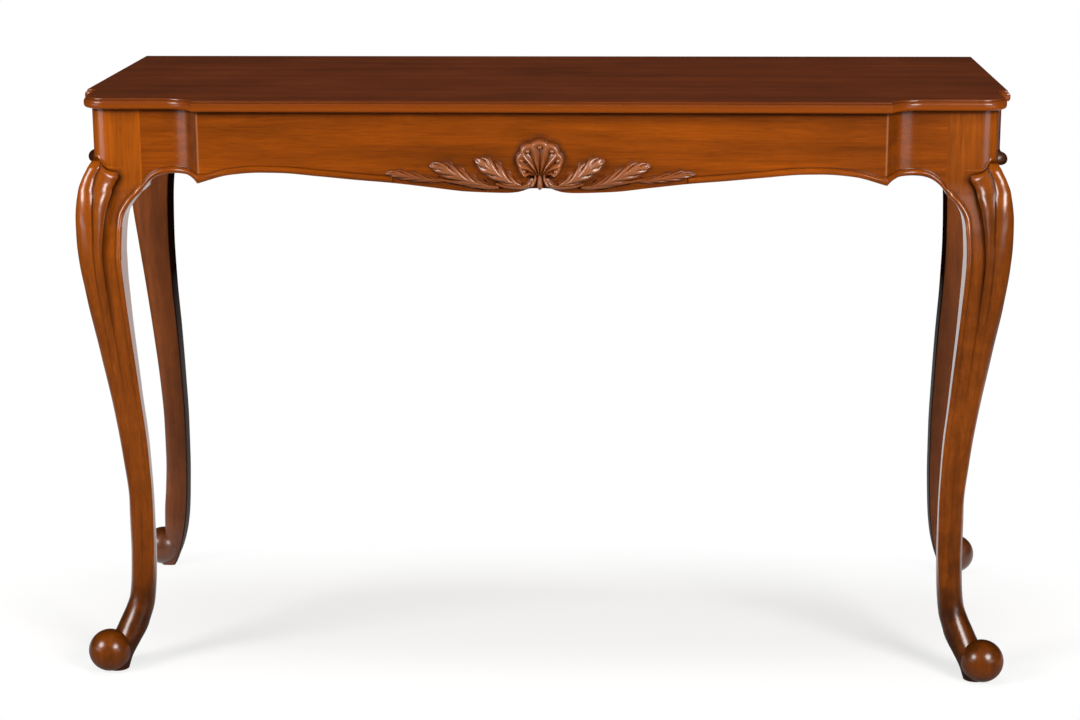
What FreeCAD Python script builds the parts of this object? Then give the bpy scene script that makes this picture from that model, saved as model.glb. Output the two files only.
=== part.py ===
import FreeCAD, Part
import math
import os

from FreeCAD import Vector

# Pier table of solid mahogany: a moulded top on a shaped frieze, four cabriole legs, a carved shell and leaves.
# Millimetres. +Z is up, the front faces -Y, and the origin is on the floor under the middle of the whole table.

# Overall sizes
height = 825.0
top_width = 1290.0
top_depth = 535.0
top_thickness = 16.0
overhang = 11.0

# Plan of the frieze: the middle of the front and of each side stands proud, with a cove beside each front post
cove_depth = 28.0
cove_run = 43.0
corner_flat = 40.0
side_flat = 10.0
arris_shift_share = 0.45

# Frame joinery
post_width = 56.0
post_corner_radius = 25.0
rail_thickness = 28.0
back_rail_thickness = 22.0
back_rail_height = 92.0
back_rail_setback = 3.0
tenon_length = 30.0
tenon_thickness = 10.0
tenon_height = 56.0
tenon_haunch = 14.0
joint_clearance = 0.15

# Moulded edge of the top, from the upper arris down: shares of its thickness and of the overhang
edge_drop_shares = (0.0, 0.07, 0.18, 0.23, 0.36, 0.52, 0.68, 0.83, 0.93, 1.0)
edge_inset_shares = (0.42, 0.30, 0.28, 0.14, 0.03, 0.0, 0.02, 0.13, 0.32, 0.72)

# Lower edge of the frieze, as depths below the underside of the top
notch_depth = 103.0
belly_depth = 109.5
shoulder_depth = 83.0
drop_depth = 98.0
knee_depth = 112.0
side_drop_depth = 89.0
side_shoulder_depth = 77.0

# The same edge, as places along the rails
notch_reach = 12.0
belly_reach = 45.0
shoulder_flat = 25.0
drop_run = 82.0
arch_spring = 23.0
arch_run = 38.0
arch_rise = 23.5
side_arch_run = 28.0
side_arch_rise = 27.5
side_spring = 45.0
rear_arch_share = 1.2
bend_share = 0.4
arch_share = 0.65

# Bead along the lower edge
bead_height = 8.0
bead_proud = 4.5
bead_start_share = 0.985

# Cabriole legs
knee_reach = 38.5
rear_knee_reach = 33.0
lappet_proud = 28.0
leg_bead_width = 6.0
leg_bead_proud = 2.0
rib_round = 1.6
inner_round = 5.0
inner_back_round = 28.0
ball_radius = 30.2
ball_flat = 0.6
ball_offset = 17.0
rear_ball_offset = 7.6
rear_knee_round = 16.0
rib_chords = 2
corner_chords = 4
ball_rings = 7
ball_sides = 14

# Front leg lines: a share of the height under the top, then a share of the size that the line follows
front_outer_shares = ((0.0, 0.62), (0.021, 0.63), (0.043, 0.56), (0.069, 0.29), (0.082, 0.17), (0.104, -0.05),
                      (0.125, -0.20), (0.168, -0.31), (0.222, -0.345), (0.297, -0.31), (0.383, -0.16),
                      (0.482, 0.08), (0.581, 0.40), (0.668, 0.69), (0.742, 0.91), (0.791, 1.0), (0.826, 0.965),
                      (0.862, 0.81), (0.884, 0.64), (0.902, 0.44), (0.914, 0.25), (0.921, 0.04))
front_inner_shares = ((0.0, -0.14), (0.021, -0.215), (0.043, -0.33), (0.069, -0.48), (0.082, -0.535),
                      (0.104, -0.634), (0.125, -0.693), (0.168, -0.775), (0.222, -0.825), (0.297, -0.835),
                      (0.383, -0.82), (0.427, -0.80), (0.482, -0.737), (0.538, -0.682), (0.612, -0.61),
                      (0.675, -0.554), (0.729, -0.505), (0.757, -0.486), (0.78, -0.495), (0.80, -0.515),
                      (0.82, -0.56), (0.834, -0.64), (0.849, -0.79), (0.862, -1.0), (1.0, -1.0))
recess_shares = ((0.0, 0.03), (0.383, 0.045), (0.482, 0.07), (0.581, 0.11), (0.668, 0.15), (0.742, 0.32),
                 (0.791, 0.64), (0.816, 0.80), (0.841, 0.93), (0.862, 1.0), (0.884, 0.86), (0.902, 0.58),
                 (0.914, 0.33), (0.921, 0.055))
groove_shares = ((0.0, 0.5), (0.383, 0.5), (0.529, 0.47), (0.603, 0.445), (0.675, 0.42), (0.759, 0.40),
                 (0.80, 0.375), (0.82, 0.37), (0.836, 0.385), (0.85, 0.41), (0.862, 0.445), (0.874, 0.405),
                 (0.884, 0.36), (0.921, 0.30))
first_cusp_shares = ((0.0, 0.04), (0.82, 0.04), (0.839, 0.077), (0.852, 0.112), (0.865, 0.174), (0.878, 0.25),
                     (0.89, 0.29), (0.921, 0.30))
second_cusp_shares = ((0.0, 0.47), (0.5, 0.47), (0.60, 0.38), (0.65, 0.354), (0.70, 0.30), (0.751, 0.25),
                      (0.783, 0.243), (0.817, 0.285), (0.84, 0.359), (0.856, 0.427), (0.873, 0.513), (0.889, 0.58),
                      (0.921, 0.58))
first_level_shares = ((0.0, 0.6), (0.742, 0.6), (0.80, 0.55), (0.862, 0.52), (0.921, 0.5))
second_level_shares = ((0.0, 0.9), (0.742, 0.93), (0.816, 0.88), (0.841, 0.84), (0.862, 0.78), (0.921, 0.78))
rib_shares = ((0.0, 0.15), (0.668, 0.2), (0.791, 0.5), (0.862, 1.0), (0.902, 1.0), (0.921, 0.3))
back_round_shares = ((0.0, 0.5), (0.25, 0.9), (0.62, 1.0), (0.70, 0.85), (0.75, 0.5), (0.80, 0.28), (0.862, 0.18),
                     (0.921, 0.18))
ankle_round_shares = ((0.0, 1.0), (0.13, 1.0), (0.20, 0.45), (0.28, 0.15), (0.40, 0.0), (0.921, 0.0))
leg_bead_shares = ((0.0, 0.3), (0.4, 0.5), (0.742, 0.9), (0.862, 1.0), (0.88, 0.5), (0.921, 0.3))
body_station_shares = (0.0, 0.04, 0.08, 0.12, 0.17, 0.26, 0.38, 0.5, 0.62, 0.72, 0.79, 0.834, 0.862)
knee_station_shares = (0.862, 0.89, 0.91, 0.921)

# Rear leg lines, the same way
rear_outer_shares = ((0.0, 0.10), (0.037, 0.06), (0.074, 0.02), (0.117, 0.02), (0.161, -0.06), (0.222, -0.13),
                     (0.297, -0.115), (0.383, 0.0), (0.482, 0.22), (0.581, 0.48), (0.668, 0.73),
                     (0.742, 0.93), (0.791, 1.0), (0.826, 0.97), (0.862, 0.81), (0.884, 0.64),
                     (0.902, 0.44), (0.914, 0.25), (0.921, 0.0))
rear_inner_shares = ((0.0, -0.34), (0.037, -0.52), (0.074, -0.62), (0.117, -0.66), (0.161, -0.69),
                     (0.222, -0.715), (0.297, -0.715), (0.383, -0.68), (0.482, -0.62), (0.581, -0.535),
                     (0.668, -0.50), (0.742, -0.52), (0.791, -0.57), (0.826, -0.69), (0.862, -1.0), (1.0, -1.0))
rear_front_shares = ((0.0, -0.62), (0.074, -0.76), (0.161, -0.69), (0.297, -0.69), (0.482, -0.76),
                     (0.668, -0.86), (0.791, -0.94), (0.862, -1.0), (1.0, -1.0))
rear_back_shares = ((0.0, -0.12), (0.074, 0.03), (0.161, -0.02), (0.297, -0.04), (0.482, -0.03), (0.668, 0.0),
                    (1.0, 0.0))
rear_round_shares = ((0.0, 0.5), (0.222, 0.7), (0.742, 1.0), (0.862, 0.8), (0.921, 0.2))

# Section of a carved lobe, as shares of its half width and of its relief
lobe_profile_shares = ((1.0, 0.0), (0.65, 0.75), (0.0, 1.0), (-0.65, 0.75), (-1.0, 0.0))

# Carved shell over the middle of the lower edge: lobes fan out from a foot, and a stem runs down from it
shell_foot_height = 18.0
shell_height = 53.0
shell_relief = 9.0
shell_lobe_width = 9.0
shell_lobe_degrees = (0.0, 26.0, 52.0, 80.0)
shell_lobe_length_shares = (1.0, 0.96, 0.84, 0.56)
shell_lobe_width_shares = (1.0, 1.0, 0.9, 0.65)
shell_lobe_run_shares = (0.08, 0.45, 0.82, 1.0)
shell_lobe_swell_shares = (0.34, 0.62, 1.0, 0.40)
shell_stem_run_shares = (0.7, 0.0, -0.6, -0.95)
shell_stem_swell_shares = (0.35, 0.75, 0.6, 0.3)

# Carved acanthus sprays beside the shell: places along the spray and above the belly of the frieze
spray_length = 208.0
spray_height = 46.0
spray_relief = 8.0
leaf_width = 9.5
leaf_path_shares = (((0.075, 0.30), (0.20, 0.30), (0.33, 0.62), (0.41, 1.0)),
                    ((0.20, 0.30), (0.46, 0.36), (0.63, 0.66), (0.75, 0.78)),
                    ((0.46, 0.36), (0.77, 0.44), (0.89, 0.57), (1.0, 0.60)))
leaf_swell_shares = ((0.5, 0.85, 1.0, 0.2), (0.45, 0.75, 0.80, 0.18), (0.35, 0.6, 0.55, 0.16))

# Inner pieces
bearer_width = 48.0
bearer_thickness = 22.0
bearer_stub = 10.0
corner_block_height = 32.0
corner_block_run = 46.0
glue_block_length = 60.0
glue_block_side = 20.0
front_glue_block_shares = (0.32, 0.70)
side_glue_block_shares = (0.30, 0.70)

# Places worked out from the sizes above
rail_top = height - top_thickness
side_face_x = top_width / 2 - overhang
post_face_x = side_face_x - cove_depth
joint_x = post_face_x - post_width
break_x = joint_x - corner_flat - cove_run
shoulder_end_x = break_x - drop_run
shoulder_start_x = shoulder_end_x - shoulder_flat
bead_start_x = spray_length * bead_start_share
foot_forward = ball_offset + ball_radius - cove_depth - overhang
back_edge_y = (top_depth + foot_forward) / 2
front_edge_y = back_edge_y - top_depth
front_face_y = front_edge_y + overhang
corner_face_y = front_face_y + cove_depth
post_back_y = corner_face_y + post_width
side_arris_y = post_back_y + side_flat + cove_depth
cove_radius = (cove_run ** 2 + cove_depth ** 2) / (2 * cove_depth)
rear_face_y = back_edge_y - overhang
rear_post_y = rear_face_y - post_width
rear_inner_x = side_face_x - post_width
side_inner_x = post_face_x - rail_thickness
front_rail_back_y = corner_face_y + rail_thickness
back_rail_back_y = rear_face_y - back_rail_setback
back_rail_front_y = back_rail_back_y - back_rail_thickness
collar_z = rail_top * knee_station_shares[-1]
tenon_z = rail_top - tenon_haunch - tenon_height / 2
half_tenon = tenon_thickness / 2
diagonal_share = 1 - math.sqrt(1 / 2)


def smooth(knots, at):
    """Value at one place of a smooth line through knots, which never swings past its neighbours."""
    pairs = list(zip(knots, knots[1:]))
    steps = [(after[1] - before[1]) / (after[0] - before[0]) for before, after in pairs]
    slopes = [steps[0]]
    for before, after in zip(steps, steps[1:]):
        slopes.append(2 * before * after / (before + after) if before * after > 0 else 0.0)
    slopes.append(steps[-1])
    k = max(j for j in range(len(pairs)) if knots[j][0] <= at or j == 0)
    run = knots[k + 1][0] - knots[k][0]
    t = (at - knots[k][0]) / run
    start = (2 * t ** 3 - 3 * t ** 2 + 1) * knots[k][1] + (t ** 3 - 2 * t ** 2 + t) * run * slopes[k]
    end = (3 * t ** 2 - 2 * t ** 3) * knots[k + 1][1] + (t ** 3 - t ** 2) * run * slopes[k + 1]
    return start + end


def line(start, end):
    """Straight edge."""
    return Part.LineSegment(start, end).toShape()


def arc(start, middle, end):
    """Circular edge through three points."""
    return Part.Arc(start, middle, end).toShape()


def round_edge(start, end, centre):
    """Part of a circle from start to end about a centre, by the shorter way."""
    middle = centre + (start + end - centre * 2).normalize() * (start - centre).Length
    return arc(start, middle, end)


def prism(edges, way):
    """Solid drawn out from a closed flat outline."""
    return Part.Face(Part.Wire(Part.__sortEdges__(edges))).extrude(way)


def block(low, high):
    """Box between two corners."""
    return Part.makeBox(high.x - low.x, high.y - low.y, high.z - low.z, low)


def mirrored(shape):
    """The same shape on the other side of the table."""
    return shape.mirror(Vector(0, 0, 0), Vector(1, 0, 0))


def both_sides(shape):
    """A half shape joined to its mirror image along the middle."""
    return shape.fuse(mirrored(shape)).removeSplitter()


def half_plan(reach, z):
    """Points of the right half of the frieze's plan, moved out by reach: arrises, coves and the round corner."""
    shift = reach * arris_shift_share
    arris = Vector(break_x + shift, front_face_y - reach, z)
    cove_end = arris + Vector(cove_run, cove_depth, 0)
    outer = post_face_x + reach
    corner = post_corner_radius + reach
    corner_start = Vector(outer - corner, cove_end.y, z)
    corner_end = Vector(outer, cove_end.y + corner, z)
    side_arris = Vector(outer + cove_depth, side_arris_y - shift, z)
    side_start = side_arris - Vector(cove_depth, cove_depth, 0)
    return arris, cove_end, corner_start, corner_end, side_start, side_arris


def top_outline(inset, z):
    """Closed line of the top, drawn in by inset from its widest edge."""
    arris, cove_end, corner_start, corner_end, side_start, side_arris = half_plan(overhang - inset, z)
    back_corner = Vector(side_arris.x, back_edge_y - inset, z)
    right = [round_edge(arris, cove_end, cove_end - Vector(0, cove_radius, 0)),
             line(cove_end, corner_start),
             round_edge(corner_start, corner_end, Vector(corner_start.x, corner_end.y, z)),
             line(corner_end, side_start),
             round_edge(side_start, side_arris, Vector(side_arris.x, side_start.y, z)),
             line(side_arris, back_corner)]
    front = line(Vector(-arris.x, arris.y, z), arris)
    rear = line(back_corner, Vector(-back_corner.x, back_corner.y, z))
    left = [mirrored(edge) for edge in reversed(right)]
    return Part.Wire(Part.__sortEdges__([front] + right + [rear] + left))


def make_top():
    """Top board with its moulded edge, one band of surface for each step of the moulding."""
    wires = []
    for drop, inset in zip(edge_drop_shares, edge_inset_shares):
        wires.append(top_outline(overhang * inset, height - top_thickness * drop))
    return Part.makeLoft(wires, True, True)


def front_face_line(reach, start_x, z):
    """Right half of the front rail's face in plan: first point, edges and last point."""
    arris, cove_end = half_plan(reach, z)[:2]
    first = Vector(start_x, arris.y, z)
    last = Vector(joint_x, cove_end.y, z)
    cove = round_edge(arris, cove_end, cove_end - Vector(0, cove_radius, 0))
    return first, [line(first, arris), cove, line(cove_end, last)], last


def side_face_line(reach, z):
    """Outer face of the right side rail in plan: first point, edges and last point."""
    start, arris = half_plan(reach, z)[4:]
    first = Vector(start.x, post_back_y, z)
    last = Vector(arris.x, rear_post_y, z)
    cove = round_edge(start, arris, Vector(arris.x, start.y, z))
    return first, [line(first, start), cove, line(arris, last)], last


def straight(first, last):
    """A straight line in the same form."""
    return first, [line(first, last)], last


def between(one, other):
    """Closed outline between two lines that run the same way."""
    return one[1] + [line(one[2], other[2])] + other[1] + [line(other[0], one[0])]


def bezier(points):
    """Smooth edge led by its poles."""
    curve = Part.BezierCurve()
    curve.setPoles(points)
    return curve.toShape()


def eased(flat, end, at):
    """Edge that is level at flat and reaches end: an arc, or a steeper curve where the rise is longer than the run."""
    run = end[0] - flat[0]
    rise = end[1] - flat[1]
    if abs(rise) >= abs(run):
        return bezier([at(*flat), at(flat[0] + run * arch_share, flat[1]), at(*end)])
    radius = (run ** 2 + rise ** 2) / (2 * abs(rise))
    turn = math.asin(abs(run) / radius) / 2
    middle = (flat[0] + math.copysign(radius * math.sin(turn), run),
              flat[1] + math.copysign(radius * (1 - math.cos(turn)), rise))
    return arc(at(*flat), at(*middle), at(*end))


def lower_line(places, at, lift):
    """A rail's lower line, raised by lift. at turns a place and a height under the top into a point."""
    edges = []
    for (place, depth, _), (next_place, next_depth, kind) in zip(places, places[1:]):
        start = (place, lift - depth)
        end = (next_place, lift - next_depth)
        lean = (next_place - place) * bend_share
        if kind == "line":
            edges.append(line(at(*start), at(*end)))
        elif kind == "bend":
            edges.append(bezier([at(*start), at(place + lean, start[1]), at(next_place - lean, end[1]), at(*end)]))
        elif kind == "leave":
            edges.append(eased(start, end, at))
        else:
            edges.append(eased(end, start, at))
    return at(places[0][0], lift - places[0][1]), edges, at(places[-1][0], lift - places[-1][1])


def front_point(place, rise):
    """Point on the plane of the proud front's bead."""
    return Vector(place, front_face_y - bead_proud, rail_top + rise)


def side_point(place, rise):
    """Point on the plane of the right side rail's inner face."""
    return Vector(side_inner_x, place, rail_top + rise)


arch_depth = knee_depth - arch_rise
side_arch_depth = knee_depth - side_arch_rise
rear_arch_run = (knee_depth - side_shoulder_depth) * rear_arch_share

# Lower lines: place along the rail, depth, and the kind of line that leads there. A bend is level at both ends,
# and a curve that leaves or reaches its higher end on the level is named for that.
tip_x = break_x + bead_proud * arris_shift_share
front_places = ((0.0, notch_depth, ""),
                (notch_reach, notch_depth, "line"),
                (belly_reach, belly_depth, "bend"),
                (shoulder_start_x, shoulder_depth, "bend"),
                (shoulder_end_x, shoulder_depth, "line"),
                (tip_x, drop_depth, "leave"),
                (tip_x + arch_spring, arch_depth, "reach"),
                (joint_x - arch_run, arch_depth, "line"),
                (joint_x, knee_depth, "leave"))
side_tip_y = side_arris_y - bead_proud * arris_shift_share
side_places = ((post_back_y, knee_depth, ""),
               (post_back_y + side_arch_run, side_arch_depth, "reach"),
               (side_tip_y, side_drop_depth, "leave"),
               (side_tip_y + side_spring, side_shoulder_depth, "reach"),
               (rear_post_y - rear_arch_run, side_shoulder_depth, "line"),
               (rear_post_y, knee_depth, "leave"))
front_depth = bead_proud + cove_depth + rail_thickness
side_depth = bead_proud + cove_depth + rail_thickness


def tenon(start, end, grow):
    """Tenon between two plan corners, grown by a clearance to make its mortise."""
    low = Vector(min(start.x, end.x) - grow, min(start.y, end.y) - grow, tenon_z - tenon_height / 2 - grow)
    high = Vector(max(start.x, end.x) + grow, max(start.y, end.y) + grow, tenon_z + tenon_height / 2 + grow)
    return block(low, high)


def front_tenon(grow):
    """Tenon of the front rail in the right front leg."""
    middle = (corner_face_y + front_rail_back_y) / 2
    return tenon(Vector(joint_x, middle - half_tenon, 0),
                 Vector(joint_x + tenon_length, middle + half_tenon, 0), grow)


def side_front_tenon(grow):
    """Tenon of the right side rail in the front leg."""
    middle = (side_inner_x + post_face_x) / 2
    return tenon(Vector(middle - half_tenon, post_back_y, 0),
                 Vector(middle + half_tenon, post_back_y - tenon_length, 0), grow)


def side_rear_tenon(grow):
    """Tenon of the right side rail in the rear leg."""
    middle = (side_inner_x + side_face_x) / 2
    return tenon(Vector(middle - half_tenon, rear_post_y, 0),
                 Vector(middle + half_tenon, rear_post_y + tenon_length, 0), grow)


def back_tenon(grow):
    """Tenon of the back rail in the right rear leg."""
    middle = (back_rail_front_y + back_rail_back_y) / 2
    return tenon(Vector(rear_inner_x, middle - half_tenon, 0),
                 Vector(rear_inner_x + tenon_length, middle + half_tenon, 0), grow)


def bearer_box(grow):
    """Cross bearer with its stub tenons, grown by a clearance to make the sockets in the rails."""
    low = Vector(-bearer_width / 2 - grow, front_rail_back_y - bearer_stub - grow, rail_top - bearer_thickness - grow)
    high = Vector(bearer_width / 2 + grow, back_rail_front_y + bearer_stub + grow, rail_top)
    return block(low, high)


def make_front_rail():
    """Front rail in one piece: proud middle, coves, shaped lower edge and a tenon at each end."""
    deepest = rail_top - max(belly_depth, knee_depth, drop_depth)
    back = straight(Vector(0, front_rail_back_y, deepest), Vector(joint_x, front_rail_back_y, deepest))
    body = prism(between(front_face_line(0, 0, deepest), back), Vector(0, 0, rail_top - deepest))
    ceiling = straight(front_point(0, 0), front_point(joint_x, 0))
    shaped = prism(between(lower_line(front_places, front_point, 0), ceiling), Vector(0, front_depth, 0))
    return both_sides(body.common(shaped).fuse(front_tenon(0))).cut(bearer_box(joint_clearance))


def make_front_bead():
    """Bead along the right half of the front's lower edge, from the carving to the leg."""
    deepest = rail_top - max(belly_depth, knee_depth, drop_depth)
    plan = between(front_face_line(0, bead_start_x, deepest),
                   front_face_line(bead_proud, bead_start_x, deepest))
    lower = lower_line(front_places, front_point, 0)
    upper = lower_line(front_places, front_point, bead_height)
    slab = prism(plan, Vector(0, 0, rail_top - deepest))
    return slab.common(prism(between(lower, upper), Vector(0, front_depth, 0)))


def make_side_rail():
    """Right side rail: cove and proud face, shaped lower edge and a tenon at each end."""
    deepest = rail_top - max(knee_depth, side_drop_depth)
    inner = straight(Vector(side_inner_x, post_back_y, deepest), Vector(side_inner_x, rear_post_y, deepest))
    body = prism(between(side_face_line(0, deepest), inner), Vector(0, 0, rail_top - deepest))
    ceiling = straight(side_point(post_back_y, 0), side_point(rear_post_y, 0))
    shaped = prism(between(lower_line(side_places, side_point, 0), ceiling), Vector(side_depth, 0, 0))
    return body.common(shaped).multiFuse([side_front_tenon(0), side_rear_tenon(0)]).removeSplitter()


def make_side_bead():
    """Bead along the right side's lower edge."""
    deepest = rail_top - max(knee_depth, side_drop_depth)
    plan = between(side_face_line(0, deepest), side_face_line(bead_proud, deepest))
    lower = lower_line(side_places, side_point, 0)
    upper = lower_line(side_places, side_point, bead_height)
    slab = prism(plan, Vector(0, 0, rail_top - deepest))
    return slab.common(prism(between(lower, upper), Vector(side_depth, 0, 0)))


def make_back_rail():
    """Plain back rail with a tenon at each end."""
    body = block(Vector(-rear_inner_x, back_rail_front_y, rail_top - back_rail_height),
                 Vector(rear_inner_x, back_rail_back_y, rail_top))
    rail = body.multiFuse([back_tenon(0), mirrored(back_tenon(0))]).removeSplitter()
    return rail.cut(bearer_box(joint_clearance))


def chords(start, rise, end, count):
    """Points after start on a shallow arc to end, in equal chords. The arc stands off its own chord by rise."""
    across = (end - start).normalize()
    middle = (start + end) / 2 + Vector(-across.y, across.x, 0) * rise
    return arc(start, middle, end).discretize(count + 1)[1:]


def front_leg_section(share):
    """Section of the right front leg: flat faces with a bead on the inner edge, ribs and a round outer corner.

    Towards the ankle the points are drawn onto a circle.
    """
    outer = knee_reach * smooth(front_outer_shares, share)
    inner = post_width * smooth(front_inner_shares, share)
    flat = outer - lappet_proud * smooth(recess_shares, share)
    groove = inner + (outer - inner) * smooth(groove_shares, share)
    first = groove + (outer - groove) * smooth(first_cusp_shares, share)
    second = groove + (outer - groove) * smooth(second_cusp_shares, share)
    first_level = flat + (outer - flat) * smooth(first_level_shares, share)
    second_level = flat + (outer - flat) * smooth(second_level_shares, share)
    corner_rise = ((outer - second) * (1 - diagonal_share) - (second_level - second) / 2) * math.sqrt(2)
    bead_rise = leg_bead_proud * smooth(leg_bead_shares, share)
    rib_rise = rib_round * smooth(rib_shares, share)
    back_round = inner_back_round * smooth(back_round_shares, share)
    face = [Vector(inner + back_round * diagonal_share, inner + back_round * diagonal_share, 0)]
    face += [Vector(inner, inner + back_round, 0), Vector(inner, flat, 0)]
    face += chords(face[-1], bead_rise, Vector(inner + leg_bead_width, flat, 0), rib_chords)
    face += [Vector(groove, flat, 0), Vector(first, first_level, 0)]
    face += chords(face[-1], rib_rise, Vector(second, second_level, 0), rib_chords)
    turned = [Vector(point.y, point.x, 0) for point in reversed(face)]
    corner = chords(face[-1], corner_rise, turned[0], corner_chords)[:-1]
    middle = Vector((outer + inner) / 2, (outer + inner) / 2, 0)
    roundness = smooth(ankle_round_shares, share)
    points = []
    for point in face + corner + turned[:-1]:
        away = point - middle
        placed = middle + away * (1 - roundness + roundness * (outer - inner) / 2 / away.Length)
        points.append(Vector(post_face_x + placed.x, corner_face_y - placed.y, rail_top * share))
    return Part.makePolygon(points + points[:1])


def ball_foot(x, y):
    """Carved ball of a scrolled foot: rings of short sides, with a small flat where it stands on the floor."""
    rise = ball_radius - ball_flat
    steepest = math.asin(rise / ball_radius)
    rings = []
    for k in range(ball_rings):
        tilt = steepest * (k / (ball_rings - 1) - 0.5) * 2
        level = Vector(x, y, rise + ball_radius * math.sin(tilt))
        turns = [math.tau * side / ball_sides for side in range(ball_sides)]
        ring = [level + Vector(math.cos(turn), math.sin(turn), 0) * ball_radius * math.cos(tilt) for turn in turns]
        rings.append(Part.makePolygon(ring + ring[:1]))
    return Part.makeLoft(rings, True, False)


def make_front_leg():
    """Right front leg: post with mortises, ribbed knee, cabriole shank and scrolled foot."""
    shank = Part.makeLoft([front_leg_section(share) for share in body_station_shares], True, False)
    knee = Part.makeLoft([front_leg_section(share) for share in knee_station_shares], True, True)
    round_start = Vector(post_face_x - post_corner_radius, corner_face_y, collar_z)
    round_end = Vector(post_face_x, corner_face_y + post_corner_radius, collar_z)
    inner_front = Vector(joint_x, corner_face_y, collar_z)
    inner_back = Vector(joint_x, post_back_y, collar_z)
    outer_back = Vector(post_face_x, post_back_y, collar_z)
    post = prism([round_edge(round_start, round_end, Vector(round_start.x, round_end.y, collar_z)),
                  line(round_end, outer_back), line(outer_back, inner_back), line(inner_back, inner_front),
                  line(inner_front, round_start)], Vector(0, 0, rail_top - collar_z))
    ball = ball_foot(post_face_x + ball_offset, corner_face_y - ball_offset)
    leg = shank.fuse(knee).fuse(post).fuse(ball)
    return leg.cut(front_tenon(joint_clearance)).cut(side_front_tenon(joint_clearance))


def rear_leg_section(share):
    """Section of the right rear leg: a rectangle with its outer corners well rounded and its inner ones eased."""
    outer = side_face_x + rear_knee_reach * smooth(rear_outer_shares, share)
    inner = side_face_x + post_width * smooth(rear_inner_shares, share)
    front = rear_face_y + post_width * smooth(rear_front_shares, share)
    back = rear_face_y + post_width * smooth(rear_back_shares, share)
    edge = rear_knee_round * smooth(rear_round_shares, share)
    z = rail_top * share
    ease = edge * math.sqrt(2) * diagonal_share / 2
    points = [Vector(inner, front + inner_round, z), Vector(inner + inner_round, front, z)]
    points.append(Vector(outer - edge, front, z))
    points += chords(points[-1], -ease, Vector(outer, front + edge, z), corner_chords)
    points.append(Vector(outer, back - edge, z))
    points += chords(points[-1], -ease, Vector(outer - edge, back, z), corner_chords)
    points += [Vector(inner + inner_round, back, z), Vector(inner, back - inner_round, z)]
    return Part.makePolygon(points + points[:1])


def make_rear_leg():
    """Right rear leg: square post with mortises, plain knee, cabriole shank and scrolled foot turned sideways."""
    shank = Part.makeLoft([rear_leg_section(share) for share in body_station_shares], True, False)
    knee = Part.makeLoft([rear_leg_section(share) for share in knee_station_shares], True, True)
    post = block(Vector(rear_inner_x, rear_post_y, collar_z), Vector(side_face_x, rear_face_y, rail_top))
    ball = ball_foot(side_face_x + rear_ball_offset, back_edge_y - ball_radius)
    leg = shank.fuse(knee).fuse(post).fuse(ball)
    return leg.cut(side_rear_tenon(joint_clearance)).cut(back_tenon(joint_clearance))


def lobe(path, side, relief, swells):
    """Carved lobe on the front face: parallel ridged sections along a path, with flat cuts between them."""
    rise = Vector(0, -relief, 0)
    rings = []
    for (x, z), swell in zip(path, swells):
        middle = Vector(x, front_face_y, z)
        ring = [middle + (side * across + rise * up) * swell for across, up in lobe_profile_shares]
        rings.append(ring + ring[:1])
    outlines = [rings[0], rings[-1]]
    for ring, next_ring in zip(rings, rings[1:]):
        for a, b, c, d in zip(ring, ring[1:], next_ring[1:], next_ring):
            outlines.append([a, b, c, d, a])
    solid = Part.Solid(Part.Shell([Part.Face(Part.makePolygon(outline)) for outline in outlines]))
    return solid if solid.Volume > 0 else solid.reversed()


def make_shell():
    """Scallop shell: ribs that fan out of a foot, over a short stem that covers the notch."""
    foot = rail_top - notch_depth + shell_foot_height
    stem_path = [(0.0, foot + shell_foot_height * run) for run in shell_stem_run_shares]
    shell = lobe(stem_path, Vector(shell_lobe_width, 0, 0), shell_relief, shell_stem_swell_shares)
    for degrees, length_share, width_share in zip(shell_lobe_degrees, shell_lobe_length_shares,
                                                  shell_lobe_width_shares):
        turn = math.radians(degrees)
        along = Vector(math.sin(turn), 0, math.cos(turn)) * shell_height * length_share
        across = Vector(math.cos(turn), 0, -math.sin(turn)) * shell_lobe_width * width_share
        path = [(along.x * run, foot + along.z * run) for run in shell_lobe_run_shares]
        rib = lobe(path, across, shell_relief, shell_lobe_swell_shares)
        shell = shell.fuse(rib)
        if degrees:
            shell = shell.fuse(mirrored(rib))
    return shell


def make_acanthus():
    """Right acanthus spray: three leaves that rise one behind another along the lower edge."""
    base = rail_top - belly_depth
    leaves = []
    for path, swells in zip(leaf_path_shares, leaf_swell_shares):
        places = [(spray_length * along, base + spray_height * up) for along, up in path]
        leaves.append(lobe(places, Vector(0, 0, leaf_width), spray_relief, swells))
    return leaves[0].multiFuse(leaves[1:])


def wedge(corner, x_run, y_run):
    """Triangular block in the angle of two faces, under the top."""
    foot = corner - Vector(0, 0, corner_block_height)
    points = [foot, foot + Vector(x_run, 0, 0), foot + Vector(0, y_run, 0)]
    return Part.Face(Part.makePolygon(points + points[:1])).extrude(Vector(0, 0, corner_block_height))


front_block_corner = Vector(joint_x, front_rail_back_y, rail_top)
side_block_corner = Vector(side_inner_x, post_back_y, rail_top)
rear_block_corner = Vector(rear_inner_x, back_rail_front_y, rail_top)


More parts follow.
